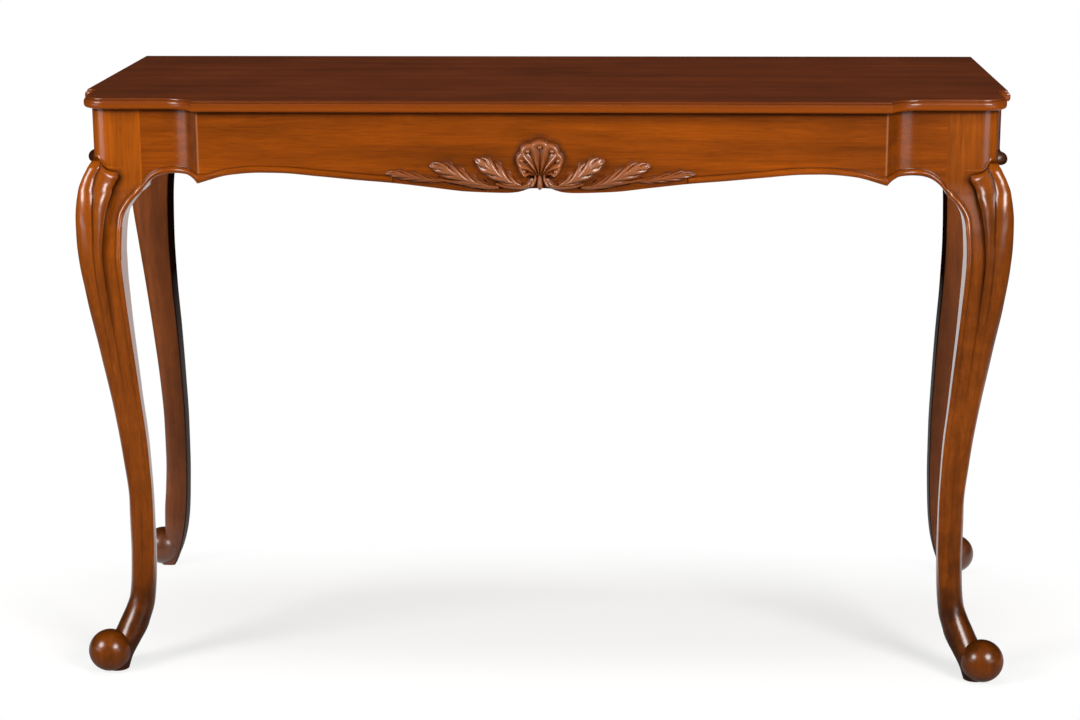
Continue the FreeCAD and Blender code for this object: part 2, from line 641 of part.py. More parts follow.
def make_glue_blocks():
    """Small blocks rubbed into the angles between the rails and the top."""
    size = Vector(glue_block_length / 2, glue_block_side, 0)
    blocks = []
    for share in front_glue_block_shares:
        for way in (1, -1):
            x = joint_x * share * way
            blocks.append(block(Vector(x - size.x, front_rail_back_y, rail_top - glue_block_side),
                                Vector(x + size.x, front_rail_back_y + glue_block_side, rail_top)))
            blocks.append(block(Vector(x - size.x, back_rail_front_y - glue_block_side, rail_top - glue_block_side),
                                Vector(x + size.x, back_rail_front_y, rail_top)))
    for share in side_glue_block_shares:
        y = post_back_y + (rear_post_y - post_back_y) * share
        side_block = block(Vector(side_inner_x - glue_block_side, y - size.x, rail_top - glue_block_side),
                           Vector(side_inner_x, y + size.x, rail_top))
        blocks += [side_block, mirrored(side_block)]
    return Part.makeCompound(blocks)


def build():
    """Every node by name."""
    front_block = wedge(front_block_corner, -corner_block_run, post_back_y - front_rail_back_y)
    side_block = wedge(side_block_corner, joint_x - side_inner_x, corner_block_run)
    nodes = {"top_board": make_top(),
             "front_rail": make_front_rail(),
             "back_rail": make_back_rail(),
             "cross_bearer": bearer_box(0),
             "carved_shell": make_shell(),
             "glue_blocks": make_glue_blocks()}
    pairs = {"side_rail": make_side_rail(),
             "front_leg": make_front_leg(),
             "rear_leg": make_rear_leg(),
             "front_bead": make_front_bead(),
             "side_bead": make_side_bead(),
             "acanthus": make_acanthus().cut(nodes["carved_shell"]),
             "front_corner_blocks": Part.makeCompound([front_block, side_block]),
             "rear_corner_block": wedge(rear_block_corner, -corner_block_run, rear_post_y - back_rail_front_y)}
    pairs["acanthus"] = pairs["acanthus"].cut(pairs["front_bead"])
    for name, shape in pairs.items():
        nodes[name + "_right"] = shape
        nodes[name + "_left"] = mirrored(shape)
    return nodes


def main():
    """Write one file for each node."""
    os.makedirs("parts", exist_ok=True)
    for name, shape in build().items():
        shape.exportStep("parts/" + name + ".step")
        print(name, len(shape.Solids), "solids", round(shape.Volume), "mm3", shape.isValid())


main()
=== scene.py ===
"""Looks of a mahogany pier table: moulded top, coved frieze, carved shell and leaves, ribbed legs."""
import math

import bmesh
import bpy
from mathutils import Matrix, Vector


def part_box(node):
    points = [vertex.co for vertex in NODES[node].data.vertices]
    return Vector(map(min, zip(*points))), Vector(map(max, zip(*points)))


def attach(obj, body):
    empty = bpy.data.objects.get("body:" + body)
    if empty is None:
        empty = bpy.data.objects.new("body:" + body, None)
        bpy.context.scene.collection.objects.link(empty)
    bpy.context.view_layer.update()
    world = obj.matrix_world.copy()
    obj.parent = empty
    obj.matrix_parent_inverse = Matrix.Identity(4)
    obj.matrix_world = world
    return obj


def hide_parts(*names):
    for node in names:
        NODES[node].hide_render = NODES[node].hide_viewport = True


bl_info = {
    "name": "Pier Table",
    "version": (1, 0, 0),
    "blender": (4, 5, 0),
    "location": "3D View > Sidebar > Pier Table",
    "description": "Builds the polished mahogany surfaces of a carved pier table around its packed solids",
    "category": "Add Mesh",
}

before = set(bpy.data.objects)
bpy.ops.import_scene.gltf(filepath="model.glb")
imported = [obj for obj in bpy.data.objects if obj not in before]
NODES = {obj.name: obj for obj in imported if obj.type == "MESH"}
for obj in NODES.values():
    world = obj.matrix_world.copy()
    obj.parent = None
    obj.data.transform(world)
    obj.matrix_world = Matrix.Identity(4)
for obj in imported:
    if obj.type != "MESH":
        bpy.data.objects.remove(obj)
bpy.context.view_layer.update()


def low(node):
    """Lowest corner of a solid."""
    return Vector(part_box(node)[0])


def high(node):
    """Highest corner of a solid."""
    return Vector(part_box(node)[1])


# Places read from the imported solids, in metres. The front faces -Y.
MM = 0.001
RAIL_TOP = low("top_board").z
HEIGHT = high("top_board").z
FRONT_EDGE_Y = low("top_board").y
BACK_EDGE_Y = high("top_board").y
FRONT_FACE_Y = low("front_rail").y
FRONT_BACK_Y = high("front_rail").y
JOINT_X = high("front_bead_right").x
CORNER_FACE_Y = high("front_bead_right").y
POST_FACE_X = low("side_bead_right").x
POST_BACK_Y = low("side_bead_right").y
REAR_POST_Y = high("side_bead_right").y
SIDE_FACE_X = high("side_rail_right").x
SIDE_INNER_X = low("side_rail_right").x
OVERHANG = FRONT_FACE_Y - FRONT_EDGE_Y
REAR_FACE_Y = BACK_EDGE_Y - OVERHANG
COVE = SIDE_FACE_X - POST_FACE_X
POST_WIDTH = POST_FACE_X - JOINT_X
BODY = "root"

# How far an arris moves sideways as the frieze's plan grows, the same as in the solids
ARRIS_SHIFT_SHARE = 0.45

# Lower edge of the front, from the middle to the pointed drop and from there to the leg: place and depth
FRONT_INNER_EDGE = (
    (0.0, 0.103), (0.012, 0.103), (0.028, 0.108), (0.045, 0.1095), (0.096, 0.108), (0.151, 0.102),
    (0.205, 0.096), (0.246, 0.0928), (0.300, 0.0878), (0.355, 0.0833), (0.382, 0.083), (0.423, 0.0862),
    (0.467, 0.098))
FRONT_OUTER_EDGE = (
    (0.467, 0.098), (0.476, 0.0925), (0.487, 0.0888), (0.501, 0.0882), (0.514, 0.0888), (0.527, 0.0918),
    (0.541, 0.1010), (0.550, 0.112))
# The same along the side, as a distance from the front post and, for the last stretch, from the rear post
SIDE_FRONT_EDGE = ((0.0, 0.112), (0.008, 0.0985), (0.018, 0.0875), (0.028, 0.0845), (0.0385, 0.089))
SIDE_MIDDLE_EDGE = ((0.0385, 0.089), (0.055, 0.0815), (0.083, 0.077), (0.300, 0.077))
SIDE_REAR_EDGE = ((0.0, 0.112), (0.008, 0.096), (0.022, 0.083), (0.042, 0.077), (0.090, 0.077))

# Moulded edge of the top: share of its thickness down from the upper face, share of the overhang drawn in
TOP_EDGE_PROFILE = (
    (0.0, 0.60), (0.0, 0.48), (0.01, 0.40), (0.035, 0.335), (0.08, 0.30), (0.15, 0.29), (0.185, 0.285),
    (0.20, 0.26), (0.215, 0.20), (0.25, 0.125), (0.31, 0.06), (0.39, 0.015), (0.48, 0.0), (0.58, 0.0),
    (0.68, 0.005), (0.78, 0.03), (0.855, 0.085), (0.91, 0.17), (0.945, 0.28), (0.97, 0.44), (0.988, 0.63),
    (1.0, 0.80))

# Lighter wood on that edge, partly wear and partly painted highlight: the fillet a little, the roll most at
# its foot
TOP_WEAR_AND_HIGHLIGHT_SHARES = (
    (0.0, 0.0), (0.03, 0.05), (0.06, 0.22), (0.15, 0.22), (0.19, 0.15), (0.25, 0.28), (0.39, 0.42),
    (0.58, 0.68), (0.78, 0.80), (1.0, 0.80))

# Bead along the lower edge: how far it stands proud and its height above the edge, in millimetres
BEAD_PROFILE = (
    (0.0, 10.2), (0.25, 9.4), (0.55, 8.7), (1.3, 8.3), (2.6, 7.6), (3.7, 6.4), (4.3, 4.9), (4.4, 3.4),
    (4.0, 1.9), (3.0, 0.8), (1.6, 0.2), (0.0, 0.0))

# Height from which the bead's upper side is a waxed quirk, in millimetres
QUIRK_RISE = 8.6

# Heights of the points on a rail's face in millimetres: up from its lower edge, then down from its top
RAIL_RISES = (0, 12, 24, 36, 50)
RAIL_DROPS = (22, 5.5, 3, 0)
# Wax and painted shade on the last two of these, in the dark line under the top, and on the legs there
UNDER_TOP_WAX_AND_SHADE = (0.4, 0.5)
LEG_TOP_WAX_AND_SHADE, LEG_TOP_LINE = 0.45, 3.5 * MM
# Painted shade that darkens the side rails and their beads
SIDE_SHADE = 0.5
# Painted highlight along the arris of the front rail, and where it has faded into the flat
ARRIS_HIGHLIGHT_WIDTH = 1.3 * MM
ARRIS_HIGHLIGHT_FADE = 2.6 * MM
# First place of the front bead among the front's columns, just outside the carving
FRONT_BEAD_FIRST = 27
# How far a bead's swelling at the pointed drop reaches along it
DROP_REACH = 7 * MM

# Front leg lines: a share of the height under the top, then a share of the size that the line follows
FRONT_OUTER_SHARES = (
    (0.0, 0.62), (0.021, 0.63), (0.043, 0.56), (0.069, 0.29), (0.082, 0.17), (0.104, -0.04), (0.125, -0.18),
    (0.168, -0.265), (0.222, -0.315), (0.297, -0.322), (0.383, -0.188), (0.482, 0.051), (0.581, 0.376),
    (0.668, 0.695), (0.742, 0.945), (0.791, 1.03), (0.82, 1.045), (0.845, 1.01), (0.866, 0.935),
    (0.884, 0.785), (0.902, 0.585), (0.925, 0.40))
FRONT_INNER_SHARES = (
    (0.0, -0.14), (0.021, -0.235), (0.043, -0.40), (0.069, -0.60), (0.082, -0.655), (0.104, -0.745),
    (0.125, -0.783), (0.168, -0.83), (0.222, -0.858), (0.297, -0.86), (0.383, -0.83), (0.427, -0.80),
    (0.482, -0.737), (0.538, -0.682), (0.612, -0.61), (0.675, -0.554), (0.729, -0.505), (0.757, -0.486),
    (0.78, -0.495), (0.80, -0.515), (0.82, -0.56), (0.834, -0.655), (0.849, -0.82), (0.862, -1.0),
    (1.0, -1.0))
FRONT_FLAT_SHARES = (
    (0.0, 0.598), (0.021, 0.608), (0.043, 0.537), (0.069, 0.266), (0.082, 0.146), (0.104, -0.075),
    (0.125, -0.226), (0.168, -0.337), (0.222, -0.375), (0.297, -0.341), (0.383, -0.193), (0.482, 0.029),
    (0.581, 0.32), (0.668, 0.581), (0.742, 0.677), (0.791, 0.535), (0.816, 0.393), (0.841, 0.227),
    (0.862, 0.083), (0.884, 0.0), (1.0, 0.0))
GROOVE_SHARES = (
    (0.0, 0.5), (0.383, 0.5), (0.529, 0.47), (0.603, 0.445), (0.675, 0.42), (0.759, 0.40), (0.80, 0.375),
    (0.82, 0.37), (0.836, 0.385), (0.85, 0.41), (0.862, 0.445), (0.874, 0.405), (0.884, 0.36),
    (0.925, 0.30))
FIRST_CUSP_SHARES = (
    (0.0, 0.04), (0.82, 0.04), (0.839, 0.077), (0.852, 0.112), (0.865, 0.174), (0.878, 0.25), (0.89, 0.29),
    (0.925, 0.30))
SECOND_CUSP_SHARES = (
    (0.0, 0.47), (0.5, 0.47), (0.60, 0.38), (0.65, 0.354), (0.70, 0.30), (0.751, 0.25), (0.783, 0.243),
    (0.817, 0.285), (0.84, 0.359), (0.856, 0.427), (0.873, 0.513), (0.889, 0.58), (0.925, 0.58))
FIRST_LEVEL_SHARES = ((0.0, 0.6), (0.742, 0.6), (0.80, 0.55), (0.862, 0.52), (0.925, 0.5))
SECOND_LEVEL_SHARES = (
    (0.0, 0.9), (0.742, 0.90), (0.816, 0.83), (0.841, 0.78), (0.862, 0.73), (0.925, 0.73))
RIB_SHARES = ((0.0, 0.05), (0.45, 0.08), (0.62, 0.25), (0.742, 0.65), (0.82, 1.0), (0.925, 1.0))
BACK_ROUND_SHARES = (
    (0.0, 0.5), (0.25, 0.9), (0.62, 1.0), (0.70, 0.85), (0.75, 0.5), (0.80, 0.28), (0.862, 0.10),
    (0.90, 0.04), (1.0, 0.04))
ANKLE_ROUND_SHARES = ((0.0, 1.0), (0.13, 1.0), (0.20, 0.45), (0.28, 0.15), (0.40, 0.0), (1.0, 0.0))
# How far the leg is darkened: more towards the foot, and at its top a painted shade under the top
AGE_AND_SHADE_SHARES = (
    (0.0, 0.72), (0.06, 0.68), (0.115, 0.66), (0.16, 0.48), (0.25, 0.36), (0.5, 0.27), (0.86, 0.25),
    (0.90, 0.10), (0.93, 0.0), (0.972, 0.0), (0.993, 0.25), (1.0, 0.25))
# Fullness of the bead on the leg's inner edge
LEG_BEAD_SHARES = (
    (0.0, 0.0), (0.25, 0.1), (0.4, 0.4), (0.742, 0.9), (0.80, 1.1), (0.85, 1.75), (1.0, 1.85))
# Width of that bead in millimetres: it is cut level, so it is wider where the edge slopes into the arch
LEG_BEAD_WIDTHS = ((0.0, 6.8), (0.77, 6.8), (0.80, 7.6), (0.83, 9.6), (0.862, 11.6), (1.0, 11.6))
# Darkening of the feet: a share of the height under the top, then how dark the leg's sides are
FOOT_DARK_SHARES = ((0.0, 0.80), (0.04, 0.75), (0.08, 0.62), (0.14, 0.34), (0.21, 0.0), (1.0, 0.0))

# Where the knee begins and where the collar lies, as shares of the height under the top
KNEE_START = 0.80
COLLAR_ZONE = (0.874, 0.924)
# Springing of the arch on the leg, the height in which the bead runs off the post there, and its fullness
SPRINGING = 0.862
BEAD_RISE = 9.5 * MM
BEAD_BOW = 9.6 * MM
# Rounding of the leg's back at its fullest
BACK_ROUND = 28 * MM
# The knee's front swells lower down than its side: by this share of the height, from here, in this run
FRONT_LAG, LAG_START, LAG_RUN = 0.02, 0.62, 0.14
# Collar over the ribs: height at the corner, fall to each side and how soon, end and fade, half height, how
# proud it is, its middle and the quirk under it
COLLAR_HEIGHT, COLLAR_FALL, COLLAR_BEND = 744 * MM, 18 * MM, 12 * MM
COLLAR_END, COLLAR_FADE = 37 * MM, 6 * MM
COLLAR_HALF, COLLAR_PROUD, COLLAR_MIDDLE, COLLAR_QUIRK = 2.2 * MM, 1.8 * MM, 1 * MM, 5.2 * MM
# Round noses of the ribs: their gap under the collar and their length
NOSE_GAP, NOSE_LENGTH = 4.5 * MM, 12 * MM

# Rear leg lines, the same way
REAR_OUTER_SHARES = (
    (0.0, 0.30), (0.037, 0.13), (0.074, 0.04), (0.117, 0.02), (0.161, -0.06), (0.222, -0.13),
    (0.297, -0.115), (0.383, 0.0), (0.482, 0.22), (0.581, 0.48), (0.668, 0.73), (0.742, 0.93), (0.791, 1.0),
    (0.826, 0.97), (0.862, 0.81), (0.884, 0.64), (0.902, 0.44), (0.914, 0.25), (0.921, 0.0))
REAR_INNER_SHARES = (
    (0.0, -0.22), (0.037, -0.43), (0.074, -0.56), (0.117, -0.64), (0.161, -0.68), (0.222, -0.71),
    (0.297, -0.715), (0.383, -0.68), (0.482, -0.62), (0.581, -0.535), (0.668, -0.50), (0.742, -0.52),
    (0.791, -0.57), (0.826, -0.69), (0.862, -1.0), (1.0, -1.0))
REAR_FRONT_SHARES = (
    (0.0, -0.62), (0.074, -0.76), (0.161, -0.69), (0.297, -0.69), (0.482, -0.76), (0.668, -0.86),
    (0.791, -0.94), (0.862, -1.0), (1.0, -1.0))
REAR_BACK_SHARES = (
    (0.0, -0.12), (0.074, 0.03), (0.161, -0.02), (0.297, -0.04), (0.482, -0.03), (0.668, 0.0), (1.0, 0.0))
REAR_ROUND_SHARES = ((0.0, 0.5), (0.222, 0.7), (0.742, 1.0), (0.862, 0.8), (0.921, 0.2))
REAR_AGE_SHARES = ((0.0, 0.42), (0.3, 0.42), (0.5, 0.30), (0.65, 0.12), (0.8, 0.0), (1.0, 0.0))
# Rounding of the rear leg's outer corners at its fullest, and of its inner ones
REAR_ROUND = 16 * MM
REAR_EASE = 4 * MM
# Share of the front legs' colour that the rear ones get: a painted shade, as they stand in the shade
REAR_SHADE_DIM = 0.8

# Leaves of the right spray in millimetres: places out from the middle and heights above the belly, half
# width, relief, and how many fingers each side of the leaf has
LEAVES = ((((128, 17), (145, 17.5), (163, 20), (182, 23), (198, 26), (211, 26.5)), 7.5, 5.0, 5),
          (((70, 10), (86, 13), (103, 20), (120, 28), (137, 35), (151, 38)), 12.5, 7.5, 5),
          (((26, 11), (40, 15.5), (53, 24), (66, 33), (78, 41), (89, 47)), 14.0, 10.0, 4))
# Flutes of the shell: degrees from upright and length from the foot to the rim in millimetres
FLUTES = ((-82, 27), (-54, 40.5), (-28, 47.5), (0, 50), (28, 47.5), (54, 40.5), (82, 27))
# End of the shell's fan on the right, the same way, and the ridges beside its flutes
FAN_END = (97, 22)
RIDGES = (-97, -68, -41, -14, 14, 41, 68, 97)
# Shell's foot: its height above the lower edge and half its width
SHELL_FOOT, FOOT_HALF = 18 * MM, 7 * MM
# Pearls of the shell: how far along its flute each lies, and its radius
PEARL_RUN, PEARL_RADIUS = 0.80, 3.3 * MM
# Bud under the shell and the right one of two small leaves beside it, out and up from the shell's foot
BUD_PATH = ((0, 2), (0, -6), (0, -13), (0, -20))
BUD_LEAF_PATH = ((5.5, 1), (6.5, -6), (10, -13), (12.5, -16))
# Half widths of both, and the share of these along them
BUD_HALF, BUD_LEAF_HALF = 4.6 * MM, 3.4 * MM
BUD_SWELL = ((0.0, 0.55), (0.35, 0.8), (0.7, 1.0), (0.9, 0.7), (1.0, 0.2))
# Scrolls that the leaves grow out of, given as the leaves are
SCROLLS = ((((10, 21), (12, 15), (18, 10), (30, 8), (46, 9), (60, 13)), 4.2, 6.5, 0),
           (((56, 8), (75, 8.5), (98, 12), (122, 16), (140, 19)), 3.6, 5.0, 0))
# Share of its half width that a leaf or a scroll has along its path
LEAF_SWELL = ((0.0, 0.30), (0.2, 0.62), (0.5, 0.95), (0.66, 1.0), (0.82, 0.74), (0.93, 0.38), (1.0, 0.04))
SCROLL_SWELL = ((0.0, 0.7), (0.12, 1.0), (0.5, 0.85), (1.0, 0.5))
# Relief of a spray that counts as its highest when the ridges are worn
SPRAY_RELIEF = 8 * MM
# Thickness of the skirts that carry wax and painted shadow beside the carving, and the leaves' gap over the
# lower edge
SKIRT_LIFT = 0.06 * MM
EDGE_GAP = 0.4 * MM

# Lamps: name, place, the point that it faces, size or sizes, watts, tint and whether the polish mirrors it.
# The cards stand low at each side and draw the soft light lines in the coves.
LAMPS = (("left_softbox", (-2.85, -2.1, 2.25), (0, 0, 0.6), (1.65,), 112, (1, 0.98, 0.95), True),
         ("right_softbox", (2.2, -2.7, 2.25), (0, 0, 0.6), (1.65,), 132, (1, 0.98, 0.95), True),
         ("overhead_softbox", (0, 0, 3.4), (0, 0, 0.6), (1.8,), 84, (1, 0.98, 0.96), False),
         ("left_card", (-2.36, -1.39, 0.5), (-0.5, -0.23, 0.5), (1.3, 0.26), 4.2, (0.9, 0.94, 1), True),
         ("right_card", (2.07, -1.76, 0.5), (0.5, -0.23, 0.5), (1.3, 0.26), 4.2, (0.9, 0.94, 1), True))


def linear(hex_colour):
    """Linear colour of an sRGB hex value."""
    channels = [int(hex_colour[k:k + 2], 16) / 255 for k in (1, 3, 5)]
    return [c / 12.92 if c <= 0.04045 else ((c + 0.055) / 1.055) ** 2.4 for c in channels]


class PierTableSizes(bpy.types.PropertyGroup):
    """Sizes of the carved and moulded detail."""
    corner_flat: bpy.props.FloatProperty(
        name="Corner flat", description="Flat of the front rail between its cove and the post",
        default=0.040, unit="LENGTH")
    cove_run: bpy.props.FloatProperty(
        name="Cove width", description="Width of the front rail's cove, seen from the front",
        default=0.043, unit="LENGTH")
    corner_radius: bpy.props.FloatProperty(
        name="Corner radius", description="Rounding of the front post's outer corner",
        default=0.025, unit="LENGTH")
    side_flat: bpy.props.FloatProperty(
        name="Side flat", description="Flat of the side rail between the post and its cove",
        default=0.024, unit="LENGTH")
    side_step: bpy.props.FloatProperty(
        name="Side step", description="How far the side rail stands out from the post's side",
        default=0.014, unit="LENGTH")
    knee_reach: bpy.props.FloatProperty(
        name="Knee reach", description="How far a front knee stands out from the post",
        default=0.0385, unit="LENGTH")
    rear_knee_reach: bpy.props.FloatProperty(
        name="Rear knee reach", description="How far a rear knee stands out from the post",
        default=0.033, unit="LENGTH")
    rib_round: bpy.props.FloatProperty(
        name="Rib rounding", description="How far a knee rib swells between its grooves",
        default=0.0034, unit="LENGTH")
    ball_radius: bpy.props.FloatProperty(
        name="Ball radius", description="Radius of the ball of a foot", default=0.0302, unit="LENGTH")
    shell_relief: bpy.props.FloatProperty(
        name="Shell relief", description="How far the shell stands out from the frieze",
        default=0.009, unit="LENGTH")


class PierTableColours(bpy.types.PropertyGroup):
    """Colours of the woods, as linear values."""
    frieze_light: bpy.props.FloatVectorProperty(
        name="Frieze light", description="Light figure of the frieze", subtype="COLOR",
        default=linear("#8F4200"))
    frieze_dark: bpy.props.FloatVectorProperty(
        name="Frieze dark", description="Dark figure of the frieze", subtype="COLOR",
        default=linear("#6B3000"))
    leg_light: bpy.props.FloatVectorProperty(
        name="Leg light", description="Light figure of the legs", subtype="COLOR",
        default=linear("#A75100"))
    leg_dark: bpy.props.FloatVectorProperty(
        name="Leg dark", description="Dark figure of the legs", subtype="COLOR",
        default=linear("#833E00"))
    # Also the colour of the painted highlight along the front rail's arrises
    wear_and_highlight: bpy.props.FloatVectorProperty(
        name="Worn wood", description="Pale, dusty wood on the ridges of the carving", subtype="COLOR",
        default=linear("#A06A48"))
    top_light: bpy.props.FloatVectorProperty(
        name="Top light", description="Light figure of the top", subtype="COLOR",
        default=linear("#5C2A10"))
    top_dark: bpy.props.FloatVectorProperty(
        name="Top dark", description="Dark figure of the top", subtype="COLOR",
        default=linear("#4D220C"))


def smooth(knots, at):
    """Value at one place of a smooth line through knots, which never swings past its neighbours."""
    at = min(max(at, knots[0][0]), knots[-1][0])
    pairs = list(zip(knots, knots[1:]))
    steps = [(after[1] - before[1]) / (after[0] - before[0]) for before, after in pairs]
    slopes = [steps[0]]
    for before, after in zip(steps, steps[1:]):
        slopes.append(2 * before * after / (before + after) if before * after > 0 else 0.0)
    slopes.append(steps[-1])
    k = max(j for j in range(len(pairs)) if knots[j][0] <= at or j == 0)
    run = knots[k + 1][0] - knots[k][0]
    t = (at - knots[k][0]) / run
    start = (2 * t ** 3 - 3 * t ** 2 + 1) * knots[k][1] + (t ** 3 - 2 * t ** 2 + t) * run * slopes[k]
    end = (3 * t ** 2 - 2 * t ** 3) * knots[k + 1][1] + (t ** 3 - t ** 2) * run * slopes[k + 1]
    return start + end


def clamp(value):
    """The value, held between 0 and 1."""
    return min(max(value, 0.0), 1.0)


def spread(start, end, count):
    """Evenly spaced numbers from start to end, both included."""
    return [start + (end - start) * k / (count - 1) for k in range(count)]


def round_edge(start, end, centre, count):
    """Points on a circle from start to end about a centre by the shorter way, both ends included."""
    first = start - centre
    begin = math.atan2(first.y, first.x)
    sweep = (math.atan2(end.y - centre.y, end.x - centre.x) - begin + math.pi) % math.tau - math.pi
    return [centre + Vector((math.cos(turn), math.sin(turn))) * first.length
            for turn in spread(begin, begin + sweep, count)]


def arc_through(start, middle, end, count):
    """Points on the circle through three points, from the first to the last, both included."""
    near, far = middle - start, end - start
    twist = 2 * (near.x * far.y - near.y * far.x)
    side = Vector((far.y * near.length_squared - near.y * far.length_squared,
                   near.x * far.length_squared - far.x * near.length_squared))
    return round_edge(start, end, start + side / twist, count)


def add(tree, kind, links=None, **settings):
    """Adds a node, sets what is given and links or fills its inputs."""
    node = tree.nodes.new(kind)
    for name, value in settings.items():
        setattr(node, name, value)
    for name, value in (links or {}).items():
        socket = node.inputs[name]
        if isinstance(value, bpy.types.NodeSocket):
            tree.links.new(value, socket)
        else:
            socket.default_value = value
    return node


def add_piece(name, node, verts, faces, material, layers, crease=40.0):
    """Makes a smooth piece in place of a solid, with sharp edges where faces meet at more than crease."""
    mesh = bpy.data.meshes.new(name)
    mesh.from_pydata(verts, [], faces)
    for layer_name, values in layers.items():
        layer = mesh.attributes.new(layer_name, "FLOAT", "POINT")
        layer.data.foreach_set("value", values)
    shaped = bmesh.new()
    shaped.from_mesh(mesh)
    bmesh.ops.remove_doubles(shaped, verts=shaped.verts, dist=0.01 * MM)
    bmesh.ops.recalc_face_normals(shaped, faces=shaped.faces)
    for face in shaped.faces:
        face.smooth = True
    for edge in shaped.edges:
        edge.smooth = len(edge.link_faces) == 2 and edge.calc_face_angle(0.0) < math.radians(crease)
    shaped.to_mesh(mesh)
    shaped.free()
    mesh.materials.append(material)
    piece = bpy.data.objects.new(name, mesh)
    bpy.context.scene.collection.objects.link(piece)
    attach(piece, BODY)
    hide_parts(node)


def add_pair(name, node, verts, faces, material, layers, crease=40.0, left_layers=None):
    """Makes a piece on the right and its mirror image on the left."""
    mirrored = [(-x, y, z) for x, y, z in verts]
    add_piece(f"{name}_right", f"{node}_right", verts, faces, material, layers, crease)
    add_piece(f"{name}_left", f"{node}_left", mirrored, faces, material, left_layers or layers, crease)


def grid_faces(rows, columns, first=0, closed=False):
    """Quads of a grid of points stored row by row, with each row closed into a ring if asked."""
    faces = []
    for r in range(rows - 1):
        for c in range(columns if closed else columns - 1):
            beside = (c + 1) % columns
            faces.append((first + r * columns + c, first + r * columns + beside,
                          first + (r + 1) * columns + beside, first + (r + 1) * columns + c))
    return faces


def tube_faces(rows, columns, first=0):
    """Faces of a row of rings with both its ends closed."""
    last = first + (rows - 1) * columns
    return grid_faces(rows, columns, first, True) + [tuple(range(first, first + columns)),
                                                     tuple(range(last, last + columns))]


def half_plan(reach, sizes):
    """Points of the right half of the frieze's plan, moved out by reach."""
    shift = reach * ARRIS_SHIFT_SHARE
    break_x = JOINT_X - sizes.corner_flat - sizes.cove_run
    arris = Vector((break_x + shift, FRONT_FACE_Y - reach))
    cove_end = arris + Vector((sizes.cove_run, COVE))
    outer = SIDE_FACE_X - sizes.side_step + reach
    corner = sizes.corner_radius + reach
    corner_start = Vector((outer - corner, cove_end.y))
    corner_end = Vector((outer, cove_end.y + corner))
    side_arris = Vector((SIDE_FACE_X + reach, POST_BACK_Y + sizes.side_flat + sizes.side_step - shift))
    side_start = side_arris - Vector((sizes.side_step, sizes.side_step))
    return arris, cove_end, corner_start, corner_end, side_start, side_arris


def front_cove(arris, cove_end, count):
    """Points of the front's cove, which leaves the flat beside the post smoothly and ends at the arris."""
    run = cove_end.x - arris.x
    depth = cove_end.y - arris.y
    radius = (run ** 2 + depth ** 2) / (2 * depth)
    return round_edge(arris, cove_end, cove_end - Vector((0, radius)), count)


